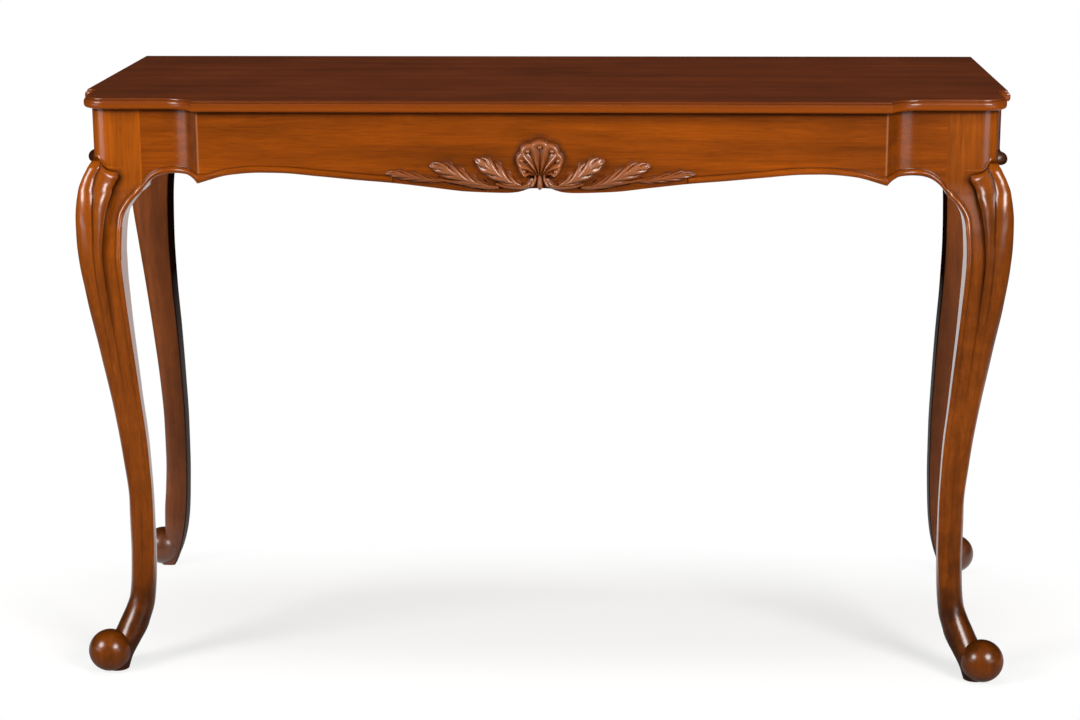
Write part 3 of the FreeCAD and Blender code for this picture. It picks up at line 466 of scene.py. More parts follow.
def wood(name, light, dark, grain_axis, gloss, shine, wear_and_highlight, coat=(0.6, 0.23, 1.5)):
    """Mahogany with long fibres, darker figure and short pores under a thin polish, so that it glows warmly.

    Dark wax lies in its hollows, a second colour shows where it is worn, and age darkens it in soft spots.
    The same layers also carry painted shade where shade falls and painted highlights on lit edges.
    The fibres run along one axis. They are drawn at about 2.5 mm and the pores at 0.9 mm, coarser than life,
    so that they show. The coat is the polish's weight, roughness and IOR.
    """
    figure_width, fibre_width, pore_width = 26 * MM, 2.5 * MM, 0.9 * MM
    cloud_width, spot_width = 160 * MM, 20 * MM
    grain_stretch = 0.05
    material = bpy.data.materials.new(name)
    material.use_nodes = True
    tree = material.node_tree
    shader = tree.nodes["Principled BSDF"]
    place = add(tree, "ShaderNodeTexCoord").outputs["Object"]
    stretched = [grain_stretch if axis == grain_axis else 1.0 for axis in "XYZ"]
    long_ways = add(tree, "ShaderNodeMapping", {"Vector": place, "Scale": stretched}).outputs[0]
    figure = add(tree, "ShaderNodeTexNoise", {"Vector": long_ways, "Scale": 1 / figure_width, "Detail": 4.0,
                                              "Roughness": 0.55, "Distortion": 0.6}).outputs["Fac"]
    fibre = add(tree, "ShaderNodeTexNoise", {"Vector": long_ways, "Scale": 1 / fibre_width, "Detail": 3.0,
                                             "Roughness": 0.6}).outputs["Fac"]
    pores = add(tree, "ShaderNodeTexNoise", {"Vector": long_ways, "Scale": 1 / pore_width,
                                             "Detail": 1.0}).outputs["Fac"]
    cloud = add(tree, "ShaderNodeTexNoise", {"Vector": place, "Scale": 1 / cloud_width,
                                             "Detail": 2.0}).outputs["Fac"]
    spots = add(tree, "ShaderNodeTexNoise", {"Vector": place, "Scale": 1 / spot_width,
                                             "Detail": 2.0}).outputs["Fac"]
    age_and_shade, wax_and_shade, wear_and_highlight_mask = [add(tree, "ShaderNodeAttribute", attribute_name=layer).outputs["Fac"]
                        for layer in ("age_and_shade", "wax_and_shade", "wear_and_highlight")]
    figured = add(tree, "ShaderNodeMapRange", {"Value": figure, "From Min": 0.32, "From Max": 0.68})
    base = add(tree, "ShaderNodeMix", {"Factor": figured.outputs[0], "A": (*dark, 1), "B": (*light, 1)},
               data_type="RGBA")
    spotted = add(tree, "ShaderNodeMapRange", {"Value": spots, "From Min": 0.35, "From Max": 0.65,
                                               "To Min": 0.86, "To Max": 1.12})
    aged = add(tree, "ShaderNodeMath", {0: age_and_shade, 1: spotted.outputs[0]}, operation="MULTIPLY")
    tone = add(tree, "ShaderNodeMath", {0: 1.0, 1: aged.outputs[0]}, operation="SUBTRACT")
    tones = ((fibre, 0.3, 0.7, 0.80, 1.12), (cloud, 0.3, 0.7, 0.84, 1.14), (pores, 0.60, 0.68, 1.0, 0.84))
    for noise, start, end, first_tone, last_tone in tones:
        shade = add(tree, "ShaderNodeMapRange", {"Value": noise, "From Min": start, "From Max": end,
                                                 "To Min": first_tone, "To Max": last_tone})
        tone = add(tree, "ShaderNodeMath", {0: tone.outputs[0], 1: shade.outputs[0]}, operation="MULTIPLY")
    toned = add(tree, "ShaderNodeVectorMath", {0: base.outputs["Result"], "Scale": tone.outputs[0]},
                operation="SCALE")
    # Paler where worn, and where a painted highlight is given
    paler = add(tree, "ShaderNodeMix", {"Factor": wear_and_highlight_mask, "A": toned.outputs[0], "B": (*wear_and_highlight, 1)},
                data_type="RGBA")
    # Darker with wax, and where a painted shade is given
    stained = add(tree, "ShaderNodeMix", {"Factor": wax_and_shade, "A": paler.outputs["Result"],
                                          "B": (*linear("#1E0D05"), 1)}, data_type="RGBA")
    tree.links.new(stained.outputs["Result"], shader.inputs["Base Color"])
    dull = add(tree, "ShaderNodeMapRange", {"Value": fibre, "To Min": gloss - 0.06, "To Max": gloss + 0.10})
    tree.links.new(dull.outputs[0], shader.inputs["Roughness"])
    bump = add(tree, "ShaderNodeBump", {"Height": fibre, "Strength": 0.12, "Distance": 0.3 * MM})
    tree.links.new(bump.outputs[0], shader.inputs["Normal"])
    for socket, most in (("Specular IOR Level", shine), ("Coat Weight", coat[0])):
        dulled = add(tree, "ShaderNodeMapRange", {"Value": wax_and_shade, "To Min": most, "To Max": 0.0})
        tree.links.new(dulled.outputs[0], shader.inputs[socket])
    shader.inputs["Coat Roughness"].default_value = coat[1]
    shader.inputs["Coat IOR"].default_value = coat[2]
    return material


def plain_wood(name, grain_axis):
    """Bare pine, sawn and never polished or waxed: dry, darkened by age, with wide soft figure."""
    light, dark, shine = linear("#7A5632"), linear("#553718"), 0.2
    material = wood(name, light, dark, grain_axis, gloss=0.72, shine=shine, wear_and_highlight=light)
    tree = material.node_tree
    for socket_name, value in (("Coat Weight", 0.0), ("Specular IOR Level", shine)):
        socket = tree.nodes["Principled BSDF"].inputs[socket_name]
        tree.nodes.remove(socket.links[0].from_node)
        socket.default_value = value
    return material


class PIERTABLE_OT_top(bpy.types.Operator):
    """Builds the top board with its moulded edge"""
    bl_idname = "pier_table.top"
    bl_label = "Top"

    def execute(self, context):
        sizes = context.scene.pier_table_sizes
        colours = context.scene.pier_table_colours
        # Shellac rubbed over a dark board: deep red brown, soft mirror; orange edge from wear and painted
        # highlight
        polish = wood("French polished mahogany board", colours.top_light, colours.top_dark, "X",
                      gloss=0.30, shine=0.08, wear_and_highlight=colours.frieze_light)
        quirk_at, quirk_half, under_from, under_run = 0.195, 0.03, 0.92, 0.06
        verts, wax_and_shade, wear_and_highlight = [], [], []
        for drop, inset in TOP_EDGE_PROFILE:
            outline = top_outline(OVERHANG * (1 - inset), sizes)
            z = HEIGHT - (HEIGHT - RAIL_TOP) * drop
            verts += [(x, y, z) for x, y in outline]
            # Wax in the quirk, and painted shade on the underside of the edge
            quirk = max(0.0, 1 - abs(drop - quirk_at) / quirk_half)
            underside_shade = clamp((drop - under_from) / under_run)
            wax_and_shade += [0.5 * quirk + 0.4 * underside_shade] * len(outline)
            wear_and_highlight += [smooth(TOP_WEAR_AND_HIGHLIGHT_SHARES, drop)] * len(outline)
        faces = tube_faces(len(TOP_EDGE_PROFILE), len(outline))
        add_piece("top_board_polished", "top_board", verts, faces, polish,
                  {"wax_and_shade": wax_and_shade, "wear_and_highlight": wear_and_highlight})
        return {"FINISHED"}


def top_outline(reach, sizes):
    """Closed line of the top around the whole table, reach outside the frieze."""
    arris, cove_end, corner_start, corner_end, side_start, side_arris = half_plan(reach, sizes)
    right = front_cove(arris, cove_end, 17)
    right += round_edge(corner_start, corner_end, Vector((corner_start.x, corner_end.y)), 13)
    right += round_edge(side_start, side_arris, Vector((side_arris.x, side_start.y)), 11)
    right.append(Vector((side_arris.x, REAR_FACE_Y + reach)))
    left = [Vector((-point.x, point.y)) for point in reversed(right)]
    return [(point.x, point.y) for point in right + left]


def front_columns(reach, sizes):
    """Places along the right half of the front: plan point and depth of the lower edge."""
    arris, cove_end = half_plan(reach, sizes)[:2]
    inner_x, outer_x = FRONT_OUTER_EDGE[0][0], FRONT_OUTER_EDGE[-1][0]
    columns = []
    # Two columns beside the arris carry the painted highlight and its fade
    beside_arris = [1 - ARRIS_HIGHLIGHT_FADE / arris.x, 1 - ARRIS_HIGHLIGHT_WIDTH / arris.x, 1.0]
    for share in spread(0, 1, 64)[:-1] + beside_arris:
        columns.append((arris.x * share, arris.y, smooth(FRONT_INNER_EDGE, inner_x * share)))
    beyond = front_cove(arris, cove_end, 18)[1:]
    beyond += [Vector((x, cove_end.y)) for x in spread(cove_end.x, JOINT_X, 14)[1:]]
    for point in beyond:
        share = (point.x - arris.x) / (JOINT_X - arris.x)
        columns.append((point.x, point.y, smooth(FRONT_OUTER_EDGE, inner_x + (outer_x - inner_x) * share)))
    return columns


def side_columns(reach, sizes):
    """Places along the right side, the same way, from the front post to the rear one."""
    start, arris = half_plan(reach, sizes)[4:]
    columns = []
    plan = [Vector((start.x, y)) for y in spread(POST_BACK_Y, start.y, 6)]
    plan += round_edge(start, arris, Vector((arris.x, start.y)), 14)[1:]
    for point in plan:
        share = (point.y - POST_BACK_Y) / (arris.y - POST_BACK_Y)
        columns.append((point.x, point.y, smooth(SIDE_FRONT_EDGE, SIDE_FRONT_EDGE[-1][0] * share)))
    for y in spread(arris.y, REAR_POST_Y, 50)[1:]:
        front = smooth(SIDE_MIDDLE_EDGE, y - arris.y + SIDE_MIDDLE_EDGE[0][0])
        rear = smooth(SIDE_REAR_EDGE, REAR_POST_Y - y)
        columns.append((arris.x, y, max(front, rear)))
    return columns


def rail_mesh(columns, back):
    """Rail from its face columns: back turns a column's plan point into the point behind it."""
    verts = []
    for x, y, depth in columns:
        behind = back(x, y)
        bottom = RAIL_TOP - depth
        verts += [(*behind, RAIL_TOP), (*behind, bottom)]
        verts += [(x, y, bottom + rise * MM) for rise in RAIL_RISES]
        verts += [(x, y, RAIL_TOP - drop * MM) for drop in RAIL_DROPS]
    rows = len(verts) // len(columns)
    # Wax and painted shade in the dark line under the top
    wax_and_shade = ([0.0] * (rows - len(UNDER_TOP_WAX_AND_SHADE)) + list(UNDER_TOP_WAX_AND_SHADE)) * len(columns)
    return verts, tube_faces(len(columns), rows), wax_and_shade


def ground(x):
    """Height of the front's lower edge at a place out from the middle."""
    return RAIL_TOP - smooth(FRONT_INNER_EDGE, abs(x))


def bead_mesh(column_maker, sizes, tip, swell, jut, drop_shade, first=0):
    """Bead along a lower edge, taller by swell, further out by jut and darkened at the pointed drop by a
    painted shade.
    """
    proudest = max(proud for proud, _ in BEAD_PROFILE)
    lines = [column_maker(proud * MM, sizes)[first:] for proud, _ in BEAD_PROFILE]
    verts, wax_and_shade = [], []
    for section in zip(*lines):
        near = math.exp(-((Vector(section[0][:2]) - tip).length / DROP_REACH) ** 2)
        for (x, y, depth), (proud, rise) in zip(section, BEAD_PROFILE):
            verts.append((x + jut * near * proud / proudest, y,
                          RAIL_TOP - depth + rise * (1 + swell * near) * MM))
            quirk = 0.55 if rise > QUIRK_RISE else 0.0
            wax_and_shade.append(max(drop_shade * near, quirk))
    return verts, tube_faces(len(lines[0]), len(BEAD_PROFILE)), wax_and_shade


class PIERTABLE_OT_frieze(bpy.types.Operator):
    """Builds the front and side rails and the beads along their lower edges"""
    bl_idname = "pier_table.frieze"
    bl_label = "Frieze"

    def execute(self, context):
        sizes = context.scene.pier_table_sizes
        colours = context.scene.pier_table_colours
        # Wax on orange brown rails: a soft glow, with the grain along each rail
        along, across = [wood(name, colours.frieze_light, colours.frieze_dark, axis,
                              gloss=0.34, shine=0.08, wear_and_highlight=colours.wear_and_highlight)
                         for name, axis in (("Waxed mahogany rail", "X"), ("Waxed mahogany side rail", "Y"))]
        arris, *_, side_arris = half_plan(0.0, sizes)
        right = front_columns(0.0, sizes)
        left = [(-x, y, depth) for x, y, depth in reversed(right[1:])]
        verts, faces, wax_and_shade = rail_mesh(left + right, lambda x, y: (x, FRONT_BACK_Y))
        # Painted shade and painted arris highlights of the front rail
        shade, wear_and_highlight_mask = self.front_shade_and_highlight(verts, arris.x, sizes)
        add_piece("front_rail_face", "front_rail", verts, faces, along,
                  {"wax_and_shade": wax_and_shade, "age_and_shade": shade, "wear_and_highlight": wear_and_highlight_mask}, crease=25.0)
        verts, faces, wax_and_shade = rail_mesh(side_columns(0.0, sizes), lambda x, y: (SIDE_INNER_X, y))
        add_pair("side_rail_face", "side_rail", verts, faces, across,
                 {"wax_and_shade": wax_and_shade, "age_and_shade": [SIDE_SHADE] * len(verts)}, crease=25.0)
        verts, faces, wax_and_shade = bead_mesh(front_columns, sizes, arris, swell=0.3, jut=0.0, drop_shade=0.0,
                                      first=FRONT_BEAD_FIRST)
        add_pair("front_bead_moulding", "front_bead", verts, faces, along, {"wax_and_shade": wax_and_shade})
        # The side bead's swollen drop is darkened as painted shade
        verts, faces, wax_and_shade = bead_mesh(side_columns, sizes, side_arris, swell=1.3, jut=6.5 * MM, drop_shade=0.75)
        add_pair("side_bead_moulding", "side_bead", verts, faces, across,
                 {"wax_and_shade": wax_and_shade, "age_and_shade": [SIDE_SHADE] * len(verts)})
        return {"FINISHED"}

    def front_shade_and_highlight(self, verts, arris_x, sizes):
        """Wax and painted shade by the carving, painted shade under the top and in the coves, painted arris
        highlights.
        """
        carving_shade, under_top_shade, cove_shade, arris_highlight = 0.34, 0.25, 0.33, 0.55
        carving_top, carving_fade, carving_half, ends_fade = 58 * MM, 30 * MM, 200 * MM, 120 * MM
        top_fade = (RAIL_DROPS[0] - RAIL_DROPS[1]) * MM
        shade, wear_and_highlight_mask = [], []
        for x, _, z in verts:
            beside = abs(x) - arris_x
            into_cove = beside / sizes.cove_run
            # Wax and painted shadow on the ground near the carving
            carving = (carving_shade * clamp((ground(x) + carving_top - z) / carving_fade)
                       * clamp((carving_half - abs(x)) / ends_fade))
            # Painted shade under the top's overhang
            under_top = under_top_shade * clamp((z - RAIL_TOP + RAIL_DROPS[0] * MM) / top_fade)
            # Painted shade on the cove's side beside the arris
            cove = cove_shade * clamp(into_cove / 0.06) * clamp((0.50 - into_cove) / 0.2)
            shade.append(max(carving, under_top, cove))
            # Painted highlight along the arris
            wear_and_highlight_mask.append(arris_highlight if -1.1 * ARRIS_HIGHLIGHT_WIDTH < beside < 0.1 * MM else 0.0)
        return shade, wear_and_highlight_mask


def front_leg_ring(share, sizes):
    """Ring of the right front leg, as places outward from the post's faces, with the wax in its grooves."""
    outer = sizes.knee_reach * smooth(FRONT_OUTER_SHARES, share)
    inner = POST_WIDTH * smooth(FRONT_INNER_SHARES, share)
    flat = sizes.knee_reach * smooth(FRONT_FLAT_SHARES, share)
    groove = inner + (outer - inner) * smooth(GROOVE_SHARES, share)
    first = groove + (outer - groove) * smooth(FIRST_CUSP_SHARES, share)
    second = groove + (outer - groove) * smooth(SECOND_CUSP_SHARES, share)
    first_level = flat + (outer - flat) * smooth(FIRST_LEVEL_SHARES, share)
    second_level = flat + (outer - flat) * smooth(SECOND_LEVEL_SHARES, share)
    ribbed = smooth(RIB_SHARES, share)
    rib = sizes.rib_round * ribbed
    beaded = smooth(LEG_BEAD_SHARES, share)
    back_round = BACK_ROUND * smooth(BACK_ROUND_SHARES, share)
    back = Vector((inner, inner))
    centre = back + Vector((back_round, back_round))
    middle_turn = centre - Vector((1, 1)).normalized() * back_round
    points = round_edge(middle_turn, Vector((inner, centre.y)), centre, 6)
    points += [Vector((inner, centre.y + (flat - centre.y) * t)) for t in spread(0, 1, 7)[1:]]
    wax_and_shade = [0.0] * len(points)
    # Above the springing of the arch the bead runs off the post onto the rail
    over = max(0.0, share - SPRINGING) * RAIL_TOP / BEAD_RISE
    bead_width = MM * smooth(LEG_BEAD_WIDTHS, share)
    for t in spread(min(over, 1.0), 1, 10)[1:]:
        across = inner + bead_width * (t - over) if over < 1 else inner
        points.append(Vector((across, flat + BEAD_BOW * t * (1 - t) * beaded)))
        wax_and_shade.append(0.0)
    wax_and_shade[-1] = 0.5 * min(beaded, 1.0) * max(0.0, 1 - over)
    points += [points[-1] + (Vector((groove, flat)) - points[-1]) * t for t in spread(0, 1, 7)[1:]]
    wax_and_shade += [0.1, 0.0, 0.0, 0.05, 0.35 * ribbed, 0.95 * ribbed]
    # The narrow rib swells from the groove through its crest and falls to the cusp beside the broad rib
    start, end = points[-1], Vector((second, second_level - 0.5 * rib))
    crest = Vector((first, first_level)) + Vector((-0.6, 0.8)) * 0.5 * rib
    points += arc_through(start, crest, end, 20)[1:]
    wax_and_shade += [value * ribbed for value in (0.75, 0.4, 0.15)] + [0.0] * 13
    wax_and_shade += [value * ribbed for value in (0.2, 0.5, 0.85)]
    turned = [Vector((point.y, point.x)) for point in reversed(points)]
    # The broad rib is an arc between the two cusps, as far out as a bow of this height would stand
    corner_cut = 0.29
    cusp = points[-1]
    width = turned[0].x - cusp.x
    bow = 4 * (outer - (outer - second) * corner_cut - (cusp.x + turned[0].x) / 2)
    t = min((width + bow) / (2 * bow), 1.0)
    brim = cusp.x + width * t + bow * t * (1 - t)
    core = cusp.x + cusp.y - brim + math.sqrt(2 * max((brim - cusp.x) * (brim - cusp.y), 0.0))
    begin = math.atan2(cusp.y - core, cusp.x - core)
    corner = [Vector((core + (brim - core) * math.cos(turn), core + (brim - core) * math.sin(turn)))
              for turn in spread(begin, math.pi / 2 - begin, 25)[1:-1]]
    ring = points + corner + turned
    hub = Vector(((outer + inner) / 2, (outer + inner) / 2))
    roundness = smooth(ANKLE_ROUND_SHARES, share)
    round_ring = []
    for point in ring:
        away = point - hub
        round_ring.append(hub + away * (1 - roundness + roundness * (outer - inner) / 2 / away.length))
    return round_ring, wax_and_shade + [0.0] * len(corner) + wax_and_shade[::-1]


def post_outline_point(point, sizes):
    """Nearest point of the post's outline to a point outside it."""
    radius = sizes.corner_radius
    if point.x > -radius and point.y > -radius:
        centre = Vector((-radius, -radius))
        return centre + (point - centre).normalized() * radius
    return Vector((min(point.x, 0.0), min(point.y, 0.0)))


def knee_point(point, depth, share, sizes):
    """Place of a ring point and its wax, with the ribs ending in round noses under a thin raised collar."""
    if share < KNEE_START:
        return point, depth
    z = RAIL_TOP * share
    radius = sizes.corner_radius
    base = post_outline_point(point, sizes)
    away = max(-min(point.x, point.y), 0.0)
    ledge = COLLAR_HEIGHT - COLLAR_FALL * (1 - math.exp(-away / COLLAR_BEND))
    nose = clamp((ledge - NOSE_GAP - z) / NOSE_LENGTH)
    cap = math.sqrt(1 - (1 - nose) ** 2)
    if base.x > -radius and base.y > -radius:
        out = (base - Vector((-radius, -radius))).normalized()
    else:
        out = Vector((0, 1)) if point.y > point.x else Vector((1, 0))
    fade = clamp((COLLAR_END - away) / COLLAR_FADE)
    across = (z - ledge + COLLAR_MIDDLE) / COLLAR_HALF
    collar = COLLAR_PROUD * fade * math.sqrt(max(0.0, 1 - across ** 2))
    quirk = max(0.0, 1 - abs(ledge - COLLAR_QUIRK - z) / COLLAR_HALF) * fade
    # The post's outer side moves out until the side rail stands only its step beyond it
    base.x += (COVE - sizes.side_step) * min(1.0, (base.x + POST_WIDTH) / (POST_WIDTH - radius))
    return base + (point - base) * cap + out * collar, max(depth * cap, 0.85 * quirk)


class PIERTABLE_OT_front_legs(bpy.types.Operator):
    """Builds the ribbed front legs with their posts and ball feet"""
    bl_idname = "pier_table.front_legs"
    bl_label = "Front legs"

    def execute(self, context):
        sizes = context.scene.pier_table_sizes
        colours = context.scene.pier_table_colours
        # Wax rubbed up on the legs: glossier than the rails, so that ribs and beads catch the light
        polish = wood("Waxed mahogany leg", colours.leg_light, colours.leg_dark, "Z",
                      gloss=0.30, shine=0.1, wear_and_highlight=colours.wear_and_highlight, coat=(1.0, 0.24, 1.5))
        # Age of the balls, and a painted shade that darkens the right leg all over
        ball_age, right_shade = 0.48, 0.26
        stations = spread(0, KNEE_START, 100) + spread(KNEE_START, COLLAR_ZONE[0], 40)[1:]
        stations += spread(*COLLAR_ZONE, 80)[1:] + [0.94, 0.96]
        stations += [1 - drop * MM / RAIL_TOP for drop in RAIL_DROPS]
        verts, wax_and_shade = [], []
        for share in stations:
            ring, grooves = front_leg_ring(share, sizes)
            hub = sum(ring, Vector((0, 0))) / len(ring)
            lower = 1.0
            if share > LAG_START:
                lower = smooth(FRONT_OUTER_SHARES, share + FRONT_LAG) / smooth(FRONT_OUTER_SHARES, share)
                lower = 1 + (lower - 1) * clamp((share - LAG_START) / LAG_RUN)
            ring = [Vector((point.x, point.y * (lower if point.y > 0 else 1))) for point in ring]
            foot_dark = smooth(FOOT_DARK_SHARES, share)
            for point, depth in zip(ring, grooves):
                placed, dark = knee_point(point, depth, share, sizes)
                verts.append((POST_FACE_X + placed.x, CORNER_FACE_Y - placed.y, RAIL_TOP * share))
                # The sides turned away from the front are darkened more than the front
                facing = max((point - hub).normalized().y, 0.0)
                dark = max(dark, foot_dark * (1 - 0.8 * facing))
                # Wax and painted shade in the dark line under the top
                wax_and_shade.append(LEG_TOP_WAX_AND_SHADE if RAIL_TOP * (1 - share) < LEG_TOP_LINE else dark)
        faces = tube_faces(len(stations), len(ring))
        age_and_shade = [smooth(AGE_AND_SHADE_SHARES, z / RAIL_TOP) for _, _, z in verts]
        ball_x = high("front_leg_right").x - sizes.ball_radius
        ball_y = low("front_leg_right").y + sizes.ball_radius
        ball_verts, ball_faces = ball_mesh(ball_x, ball_y, sizes, len(verts))
        verts += ball_verts
        faces += ball_faces
        # The ball is darker on its sides and back than at its front
        wax_and_shade += [0.1 + 0.65 * (1 - max((ball_y - y) / sizes.ball_radius, 0.0)) ** 2 for _, y, _ in ball_verts]
        age_and_shade += [ball_age] * len(ball_verts)
        # Painted shade: the right leg is darker all over than the left
        age_and_right_shade = [right_shade + (1 - right_shade) * value for value in age_and_shade]
        add_pair("front_leg_carved", "front_leg", verts, faces, polish,
                 {"wax_and_shade": wax_and_shade, "age_and_shade": age_and_right_shade}, left_layers={"wax_and_shade": wax_and_shade, "age_and_shade": age_and_shade})
        return {"FINISHED"}


def ball_mesh(x, y, sizes, first):
    """Ball of a foot, standing on the floor."""
    radius = sizes.ball_radius
    rings, sides = 28, 48
    top_tilt = math.pi / 2 * 0.985
    sunk = 0.6 * MM
    verts = []
    for tilt in spread(-top_tilt, top_tilt, rings):
        out = radius * math.cos(tilt)
        z = max(radius - sunk + radius * math.sin(tilt), 0.0)
        for turn in spread(0, math.tau, sides + 1)[:-1]:
            verts.append((x + out * math.cos(turn), y + out * math.sin(turn), z))
    return verts, tube_faces(rings, sides, first)


class PIERTABLE_OT_rear_legs(bpy.types.Operator):
    """Builds the plain rear legs with their posts and ball feet"""
    bl_idname = "pier_table.rear_legs"
    bl_label = "Rear legs"

    def execute(self, context):
        sizes = context.scene.pier_table_sizes
        colours = context.scene.pier_table_colours
        # Old, thin wax: duller than the front legs, and darker by a painted shade
        light, dark = [[channel * REAR_SHADE_DIM for channel in colour]
                       for colour in (colours.leg_light, colours.leg_dark)]
        polish = wood("Waxed mahogany rear leg", light, dark, "Z", gloss=0.45, shine=0.4, wear_and_highlight=colours.wear_and_highlight)
        plain_wax, edge_wax, ball_age = 0.1, 0.35, 0.55
        stations = spread(0, KNEE_START, 70) + spread(KNEE_START, REAR_OUTER_SHARES[-1][0], 30)[1:]
        verts, wax_and_shade = [], []
        for share in stations:
            ring = self.ring(share, sizes)
            verts += ring
            # Round the ring: the outer corners, the back, the unlit inner face and the front; the unlit face
            # is painted shade
            unlit = 0.95 + 0.05 * clamp((share - 0.4) / 0.2)
            wax_and_shade += [plain_wax] * 18 + [edge_wax] * 4 + [unlit] * 10 + [edge_wax] * 4
        faces = grid_faces(len(stations), len(ring), closed=True) + [tuple(range(len(ring)))]
        first = len(verts)
        inner_x = SIDE_FACE_X - POST_WIDTH
        for z in (RAIL_TOP * stations[-1], RAIL_TOP):
            verts += [(inner_x, REAR_POST_Y, z), (SIDE_FACE_X, REAR_POST_Y, z), (SIDE_FACE_X, REAR_FACE_Y, z),
                      (inner_x, REAR_FACE_Y, z)]
        faces += tube_faces(2, 4, first)
        age_and_shade = [smooth(REAR_AGE_SHARES, z / RAIL_TOP) for _, _, z in verts]
        ball_verts, ball_faces = ball_mesh(high("rear_leg_right").x - sizes.ball_radius,
                                           high("rear_leg_right").y - sizes.ball_radius, sizes, len(verts))
        verts += ball_verts
        faces += ball_faces
        wax_and_shade += [plain_wax] * (len(verts) - len(wax_and_shade))
        age_and_shade += [ball_age] * len(ball_verts)
        add_pair("rear_leg_shaped", "rear_leg", verts, faces, polish,
                 {"wax_and_shade": wax_and_shade, "age_and_shade": age_and_shade})
        return {"FINISHED"}

    def ring(self, share, sizes):
        """Ring of the right rear leg: a rectangle with round outer corners and eased inner ones."""
        outer = SIDE_FACE_X + sizes.rear_knee_reach * smooth(REAR_OUTER_SHARES, share)
        inner = SIDE_FACE_X + POST_WIDTH * smooth(REAR_INNER_SHARES, share)
        front = REAR_FACE_Y + POST_WIDTH * smooth(REAR_FRONT_SHARES, share)
        back = REAR_FACE_Y + POST_WIDTH * smooth(REAR_BACK_SHARES, share)
        edge = REAR_ROUND * smooth(REAR_ROUND_SHARES, share)
        # Each corner and the way in to the centre of its rounding; every second one runs the other way
        corners = ((outer, front, -edge, edge), (outer, back, -edge, -edge),
                   (inner, back, REAR_EASE, -REAR_EASE), (inner, front, REAR_EASE, REAR_EASE))
        points = []
        for k, (x, y, across, along) in enumerate(corners):
            ends = [Vector((x + across, y)), Vector((x, y + along))]
            start, end = reversed(ends) if k % 2 else ends
            points += round_edge(start, end, Vector((x + across, y + along)), 9)
        return [(point.x, point.y, RAIL_TOP * share) for point in points]


def on_ground(x, z, lift):
    """Point of the carving, which never hangs under the lower edge of the frieze."""
    return (x, FRONT_FACE_Y - lift, max(z, ground(x) + EDGE_GAP))


def in_metres(path, foot, sign=1):
    """Path in metres from places and heights in millimetres, on the right or with sign -1 on the left."""
    return [(sign * x * MM, foot + up * MM) for x, up in path]


def path_place(path, share):
    """Place and height at a share of a smooth path."""
    shares = spread(0, 1, len(path))
    return [smooth(list(zip(shares, line)), share) for line in zip(*path)]


def carved_leaf(path, half_width, relief, fingers, swell):
    """Carved leaf along a path: round fingers that sweep to its tip, with dark wax between.

    Past its edge a thin skirt lies on the ground and carries the wax that gathers beside the carving and a
    painted shadow.
    """
    rows, columns, skirt, step = 91, 41, 1.4, 0.02
    # How far back a finger's root lies, how deep it is cut into the outline and how deep into the relief
    sweep, notch, furrow = 0.3, 0.42, 0.62
    verts, wax_and_shade = [], []
    for along in spread(0, 1, rows):
        here = Vector(path_place(path, along))
        ahead = Vector(path_place(path, min(along + step, 1)))
        behind = Vector(path_place(path, max(along - step, 0)))
        way = (ahead - behind).normalized()
        side = Vector((-way.y, way.x))
        full = smooth(swell, along)
        for across in spread(-skirt, skirt, columns):
            out = min(abs(across), 1.0)
            finger = 1.0
            if fingers:
                finger = abs(math.cos(math.pi * fingers * (along - sweep * out))) ** 0.8
            edge = half_width * full * (1 - notch * (1 - finger) * out)
            dome = max(0.0, 1 - out ** 2.6)
            ridge = 1 - furrow * (1 - finger) * min(1.0, 1.8 * out)
            lift = relief * math.sqrt(full) * dome * ridge + SKIRT_LIFT
            point = here + side * (edge * across)
            verts.append(on_ground(point.x, point.y, lift))
            # Wax and painted shadow on the skirt beside the leaf
            beside = max(0.0, 1 - abs(abs(across) - 1) / (skirt - 1)) * 0.5 * min(1.0, 3 * full)
            sunk = 0.9 * (1 - finger) ** 2 * min(1.0, 1.6 * out) if abs(across) < 1 else 0.3
            wax_and_shade.append(max(beside, sunk))
    return verts, grid_faces(rows, columns), wax_and_shade


def joined(parts, relief):
    """One list of points, faces, wax and wear from several: the wear grows with the share of the relief."""
    verts, faces, wax_and_shade = [], [], []
    for part_verts, part_faces, part_wax in parts:
        faces += [tuple(len(verts) + corner for corner in face) for face in part_faces]
        verts += part_verts
        wax_and_shade += part_wax
    wear_and_highlight = [clamp(0.5 * ((FRONT_FACE_Y - y) / relief - 0.2)) for _, y, _ in verts]
    return verts, faces, wax_and_shade, wear_and_highlight


